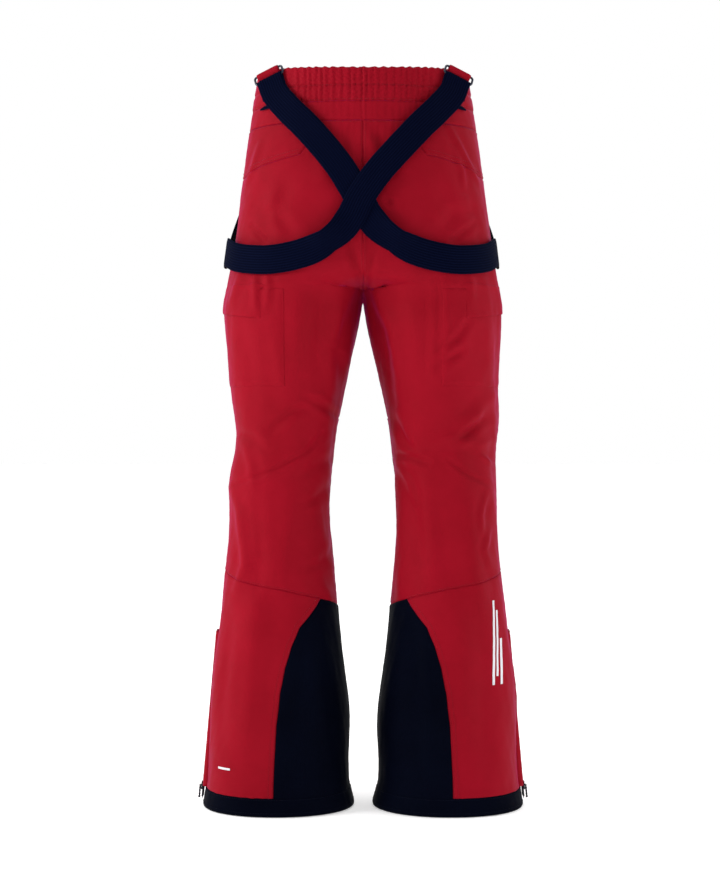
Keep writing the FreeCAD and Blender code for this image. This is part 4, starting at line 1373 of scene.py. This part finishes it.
def snap(place, radius, height):
    """A pressed snap: a domed disc with a rolled rim."""
    profile = [(0.0, 0.62), (0.30, 0.60), (0.62, 0.50), (0.72, 0.36), (0.80, 0.44), (0.92, 0.48), (1.0, 0.20),
               (1.0, -0.30), (0.9, -0.5), (0.0, -0.5)]
    sides = 32
    angles = np.arange(sides) * 2 * math.pi / sides
    work = bmesh.new()
    made = [work.verts.new((radius * r * math.cos(a), radius * r * math.sin(a), height * z))
            for r, z in profile for a in angles]
    for face in ring_faces(len(profile), sides):
        corners = [made[i] for i in face[::-1]]
        work.faces.new(corners)
    bmesh.ops.remove_doubles(work, verts=work.verts, dist=1e-6)
    points, polygons = mesh_lists(work)
    return place(points), polygons


# ---------------------------------------------------------------- braces

STRAP_WIDTH = 0.040
STRAP_THICKNESS = 0.0016
BAR = 0.0016
FRONT_TAIL = 0.0105
STRAP_LIFT = {1: 0.0107, -1: 0.0085}    # the brace from the right lies over the one from the left
RING_SPLIT = 0.006                      # the depth between the back rings and the front ones
# The braces' way over the body: across and up in millimetres, and the half of the garment.
ROUTE = [
    (101, 989, BACK), (80, 965, BACK), (60, 941, BACK), (42, 919, BACK), (25, 897, BACK), (12, 877, BACK),
    (0, 857, BACK), (-12, 834, BACK), (-26, 816, BACK), (-46, 801, BACK), (-68, 790, BACK), (-92, 783, BACK),
    (-119, 779, BACK), (-150, 780, BACK), (-172, 785, BACK), (-182, 793, BACK), (-184, 800, FRONT),
    (-176, 824, FRONT), (-162, 862, FRONT), (-145, 905, FRONT),
]


def ring_place(sign, half):
    """The frame of one of the four rings: x across the strap, y up to its tab, z outwards."""
    points = node_points("brace_rings")
    chosen = points[(points[:, 0] * sign > 0) & ((points[:, 1] - RING_SPLIT) * half > 0)]
    place, size = block_frame(chosen, (sign * 0.3, half, 0), (1, 0, 0))
    upward = place.y if place.y[2] > 0 else -place.y
    x = np.cross(upward, place.z)
    return Place(place.origin, x, place.z), size


def loop_path(steps, origin, up, outward):
    """Points and facings from steps of (up, outwards, facing angle from up in degrees)."""
    points = [origin + up * u + outward * n for u, n, _ in steps]
    facing = [up * math.cos(math.radians(a)) + outward * math.sin(math.radians(a)) for _, _, a in steps]
    return points, facing


def bar_loop(bar, up, normal, tail, reverse=False):
    """A strap's way from its sewn tail, over a bar and down the front."""
    radius = BAR + 0.0003 + STRAP_THICKNESS / 2
    steps = [(-tail, -0.0021, -90), (-tail * 0.7, -0.0021, -90), (-0.004, -0.0026, -90)]
    for angle in (-80, -50, -20, 10, 40, 70):
        steps.append((radius * math.cos(math.radians(angle)), radius * math.sin(math.radians(angle)), angle))
    steps += [(-0.003, 0.0024, 90), (-0.006, 0.0012, 90), (-0.010, 0.0003, 90), (-0.016, 0.0, 90)]
    points, facing = loop_path(steps, bar, up, normal)
    return (points[::-1], facing[::-1]) if reverse else (points, facing)


def clearance(half, x, z, normal):
    """How far the cloth under a strap stands off the body's plain outline, at its highest."""
    highest = 0.0
    for aside in (-0.018, -0.009, 0.0, 0.009, 0.018):
        height = z + aside
        s = form.s_at(half, abs(x), height)
        cloth = form.point(half, s, height) * np.array([math.copysign(1, x), 1, 1])
        plain = form.hull(half, x, height)[0]
        proud = float((cloth - plain) @ normal) + float(fold_height(cloth, half))
        highest = max(highest, proud)
    return highest


def brace_path(sign):
    """The centre line of the brace that starts at one side's back ring, and its facing."""
    back, size = ring_place(sign, BACK)
    front, _ = ring_place(-sign, FRONT)
    bar_drop = size[1] / 2 - BAR
    points, facing = bar_loop(back.origin - back.y * bar_drop, back.y, back.z, 0.028)
    for across, height, half in ROUTE:
        normal = form.hull(half, sign * across * MM, height * MM)[1]
        proud = clearance(half, sign * across * MM, height * MM, normal)
        point = form.hull(half, sign * across * MM, height * MM, max(STRAP_LIFT[sign], proud + 0.0030))[0]
        if half == BACK:
            # beside the crossing the pulled strap tips onto its edge, and the crossing sits off the middle
            near_height = math.exp(-(((height - 806) / 20) ** 2))
            tilt = 1.05 * near_height * math.exp(-(((abs(across) - 42) / 26) ** 2))
            point = point + normal * 0.005 * tilt
            normal = unit(normal - np.array([0, 0, tilt]))
            point = point + np.array([-0.005, 0, 0]) * math.exp(-(((height - 857) / 55) ** 2))
        points.append(point)
        facing.append(normal)
    run = front.origin - front.y * bar_drop
    for drop in (0.090, 0.070, 0.050, 0.030):
        points.append(run - front.y * drop)
        facing.append(front.z)
    end, end_facing = bar_loop(run, front.y, front.z, FRONT_TAIL, True)
    return points + end, facing + end_facing


def make_braces():
    for side, sign in SIDES.items():
        points, facing = brace_path(sign)
        ribbon("brace_webbing_" + side, points, facing, STRAP_WIDTH, STRAP_THICKNESS, STRAP,
                             node="brace_strap_" + side)
        for half in (BACK, FRONT):
            place, size = ring_place(sign, half)
            label = "%s_%s" % ("back" if half == BACK else "front", side)
            part("brace_ring_" + label, [ring_bar(size)], METAL_BLUE, node="brace_rings", place=place)
            make_tab(label, place, size)
        make_adjuster(side)
        make_keeper(side, sign)


def ring_bar(size):
    """A rectangular ring of round bar with rounded corners, in its own frame."""
    half_x, half_y, corner = size[0] / 2 - BAR, size[1] / 2 - BAR, 0.0032
    path = []
    for cx, cy, start in ((1, 1, 0), (-1, 1, 90), (-1, -1, 180), (1, -1, 270)):
        for k in range(7):
            a = math.radians(start + 15 * k)
            path.append((cx * (half_x - corner) + corner * math.cos(a),
                         cy * (half_y - corner) + corner * math.sin(a), 0))
    return tube(path, BAR, 12, True)


def make_tab(label, place, size):
    """The red tab that holds a ring: a folded strip over the ring's top bar, sewn behind it."""
    rise = size[1] / 2 - BAR
    radius = BAR + 0.0011
    steps = [(-0.0125, -0.0050, -90), (-0.006, -0.0050, -90), (0.0, -0.0045, -90),
             (rise - 0.0035, -0.0032, -90)]
    for angle in (-70, -35, 0, 35, 70):
        turned = math.radians(angle)
        steps.append((rise + radius * math.cos(turned), radius * math.sin(turned), angle))
    steps += [(rise - 0.0025, 0.0024, 100), (rise - 0.0055, 0.0006, 120), (rise - 0.0080, -0.0018, 110)]
    points, facing = loop_path(steps, place.origin, place.y, place.z)
    ribbon("brace_tab_" + label, points, facing, 0.034, 0.0016, RED, node="brace_tabs",
           columns=11, step=0.0008)


def make_adjuster(side):
    """A slide buckle: two side rails, bars before and behind the strap, and a raised thumb bar on top."""
    body = "brace_adjuster_" + side
    sign = SIDES[side]
    place, size = block_frame(node_points(body), (sign * 0.3, 1, 0), (1, 0, 0))
    upward = math.copysign(1, place.y[2])
    top = (size[1] / 2 - 0.0018) * upward
    parts = []
    for x in (-1, 1):
        parts.append(rounded_box((x * (size[0] / 2 - 0.0017), 0, 0), (0.0034, size[1], size[2]), 0.0009))
        parts.append(rounded_box((x * (size[0] / 2 - 0.0017), top, 0.0022), (0.0034, 0.0032, 0.0044), 0.0009))
    for z in (0.0019, -0.0019):
        for y in (-top, 0):
            parts.append(rounded_box((0, y, z), (size[0] - 0.003, 0.0036, 0.0012), 0.0005))
    parts.append(rounded_box((0, top, 0.0040), (size[0] - 0.003, 0.0030, 0.0011), 0.0005))
    part(body + "_moulded", parts, PLASTIC, body=body, node=body, place=place)


def make_keeper(side, sign):
    """A small navy loop in the waistband seam, half under the brace."""
    points, facing = [], []
    for x, z in ((106, 998), (116, 998.5), (126, 998.5), (134, 998), (140, 997), (144, 996)):
        point, normal = form.hull(BACK, sign * x * MM, z * MM, 0.0024)
        points.append(point)
        facing.append(normal)
    ribbon("keeper_loop_webbing_" + side, points, facing, 0.0056, 0.0014, STRAP, node="keeper_loop_" + side,
           columns=5, taper=lambda t: 1 - 0.45 * smooth(0.80, 1.0, t))


# ---------------------------------------------------------------- stitches

class Skin:
    """The finished outside of the garment, to lay stitches on."""

    def __init__(self):
        vertices, faces, first = [], [], 0
        for item in shell_pieces:
            mesh = item.data
            vertices += [v.co.copy() for v in mesh.vertices]
            faces += [[i + first for i in p.vertices] for p in mesh.polygons]
            first += len(mesh.vertices)
        self.tree = BVHTree.FromPolygons(vertices, faces)

    def level(self, place, x, y, lowest):
        """The garment's height under a place's local point, and lowest where there is none."""
        hit = self.tree.ray_cast(Vector(place([x, y, 0.02])), Vector(-place.z), 0.04)
        if hit[0] is None:
            return lowest
        return float((np.array(hit[0]) - place.origin) @ place.z)

    def drop(self, point, normal):
        start = Vector(point) + Vector(normal) * 0.02
        hit = self.tree.ray_cast(start, -Vector(normal), 0.03)
        return np.array(hit[0]) if hit[0] is not None else None


def stitch_points(half, sign, line, aside):
    """Points along a seam, moved aside in the surface, with outward directions."""
    line = lines_of(line, 900)
    points = form.point(half, line[:, 0], line[:, 1])
    normals = form.normal(half, line[:, 0], line[:, 1])
    ahead = unit(np.gradient(points, axis=0))
    sideways = np.cross(normals, ahead) * aside
    flip = np.array([sign, 1, 1])
    return (points + sideways) * flip, normals * flip


def sew(skin, half, sign, line, aside, parts, pitch=0.0036):
    points, normals = stitch_points(half, sign, line, aside)
    gaps = np.linalg.norm(np.diff(points, axis=0), axis=1)
    length = np.concatenate([[0], np.cumsum(gaps)])
    for start in np.arange(0.002, length[-1] - pitch, pitch):
        ends = []
        for t in (start, start + pitch * 0.72):
            point = np.array([np.interp(t, length, points[:, k]) for k in range(3)])
            normal = unit(np.array([np.interp(t, length, normals[:, k]) for k in range(3)]))
            found = skin.drop(point, normal)
            if found is not None:
                ends.append((found, normal))
        if len(ends) == 2 and np.linalg.norm(ends[0][0] - ends[1][0]) < pitch * 1.5:
            parts.append(one_stitch(ends[0][0], ends[1][0], ends[0][1]))


THREAD_RADIUS = 0.00026


def one_stitch(a, b, normal):
    """A short thread that dives into the cloth at both ends."""
    ahead = unit(b - a)
    side = np.cross(normal, ahead)
    corners = math.pi / 4 + np.arange(4)[:, None] * math.pi / 2
    around = (side * np.cos(corners) + normal * np.sin(corners)) * THREAD_RADIUS * 1.3
    rings = []
    for t, lift, reach in ((0.0, -0.0001, 0.5), (0.22, 0.00022, 1.0), (0.78, 0.00022, 1.0),
                           (1.0, -0.0001, 0.5)):
        rings.append(a + (b - a) * t + normal * lift + around * reach)
    return capped(rings)


EDGE_STITCH, SECOND_STITCH = 0.0022, 0.0075    # the two rows beside a seam
SHIRRED_SHARE = 0.62                            # how far round the back the upper shirring row goes


def make_stitches():
    skin = Skin()
    red, navy = [], []
    for sign in SIDES.values():
        for aside in (EDGE_STITCH, SECOND_STITCH):
            sew(skin, BACK, sign, yoke_line()[2:], aside, red)
            sew(skin, BACK, sign, kick_line(BACK), -aside, red)
            sew(skin, FRONT, sign, kick_line(FRONT), aside, red)
        sew(skin, BACK, sign, calf_line(), EDGE_STITCH, red)
        sew(skin, BACK, sign, inner_edge(0.76, BAND_SEAM - 0.003), -0.0026, red)
        sew(skin, BACK, sign, level_line(BAND_SEAM), -0.0024, red)
        sew(skin, BACK, sign, level_line(WAISTBAND_SEAM), 0.0026, red)
        sew(skin, BACK, sign, [(0.0, STITCH_ROWS[0]), (SHIRRED_SHARE, STITCH_ROWS[0])], 0.0, red, 0.0030)
        sew(skin, FRONT, sign, level_line(WAISTBAND_SEAM), 0.0024, red)
        sew(skin, FRONT, sign, level_line(WAIST_TOP - 0.004), 0.0, red)
        sew(skin, FRONT, sign, knee_top(), 0.0024, red)
        sew(skin, FRONT, sign, knee_low(), -0.0024, red)
        for half in (BACK, FRONT):
            sew(skin, half, sign, level_line(HEM_TOP), -0.0024, navy)
            sew(skin, half, sign, level_line(0.006), 0.0, navy)
    part("topstitch_red", red, RED_THREAD)
    part("topstitch_navy", navy, NAVY_THREAD)


# ---------------------------------------------------------------- camera, light and stage

CAMERA_DISTANCE = 2.5
VIEW_HEIGHT = 1.2615    # what the longer side of the picture takes in at the pants, in metres


def make_stage():
    camera_data = bpy.data.cameras.new("camera")
    camera = bpy.data.objects.new("camera", camera_data)
    bpy.context.scene.collection.objects.link(camera)
    camera_data.sensor_width = 36
    camera_data.lens = 36 * CAMERA_DISTANCE / VIEW_HEIGHT
    camera.location = (-0.0044, -CAMERA_DISTANCE, 0.534)
    camera.rotation_euler = (math.radians(90), 0, 0)
    bpy.context.scene.camera = camera

    bpy.ops.mesh.primitive_plane_add(size=60, location=(0, 0, -0.0005))
    floor = bpy.context.object
    floor.name = "floor"
    material, _, shader = new_material("pale_floor")
    set_sockets(shader, Base_Color=(0.92, 0.92, 0.92, 1), Roughness=0.85, Specular_IOR_Level=0.0,
                Emission_Color=(1, 1, 1, 1), Emission_Strength=0.36)
    floor.data.materials.append(material)

    make_world()
    bpy.context.scene.view_settings.view_transform = "Standard"

    area_light("key", (-2.4, -0.9, 1.5), (0, 0, 0.55), 1.0, 44)
    area_light("fill", (2.4, -0.9, 1.1), (0, 0, 0.5), 1.4, 16)
    area_light("front", (-0.3, -2.8, 1.9), (0, 0, 0.6), 1.6, 8)
    area_light("rim", (0.4, 2.4, 2.2), (0, 0, 0.7), 1.8, 14)
    area_light("floor_wash", (0, -0.2, 4.2), (0, -0.2, 0), 5.0, 60)


def make_world():
    """A white studio whose walls light the garment, with a darker room in front of it."""
    world = bpy.data.worlds.new("studio")
    world.use_nodes = True
    tree = world.node_tree
    direction = tree.nodes.new("ShaderNodeTexCoord")
    split = tree.nodes.new("ShaderNodeSeparateXYZ")
    tree.links.new(direction.outputs["Generated"], split.inputs["Vector"])
    bright = remapped(tree, split.outputs["Y"], From_Min=-0.8, From_Max=0.25, To_Min=0.12, To_Max=1.0)
    seen = tree.nodes.new("ShaderNodeLightPath")
    strongest = tree.nodes.new("ShaderNodeMath")
    strongest.operation = "MAXIMUM"
    tree.links.new(bright, strongest.inputs[0])
    tree.links.new(seen.outputs["Is Camera Ray"], strongest.inputs[1])
    tree.links.new(strongest.outputs[0], tree.nodes["Background"].inputs["Strength"])
    tree.nodes["Background"].inputs["Color"].default_value = (1, 1, 1, 1)
    bpy.context.scene.world = world


def area_light(name, place, target, size, power):
    data = bpy.data.lights.new(name, "AREA")
    data.shape = "SQUARE"
    data.size = size
    data.energy = power
    light = bpy.data.objects.new(name, data)
    bpy.context.scene.collection.objects.link(light)
    light.location = place
    direction = Vector(target) - Vector(place)
    light.rotation_euler = direction.to_track_quat("-Z", "Y").to_euler()


make_stage()
make_shell()
make_inner_layers()
make_cargo_pockets()
make_prints()
make_zips()
make_closure()
make_braces()
make_stitches()
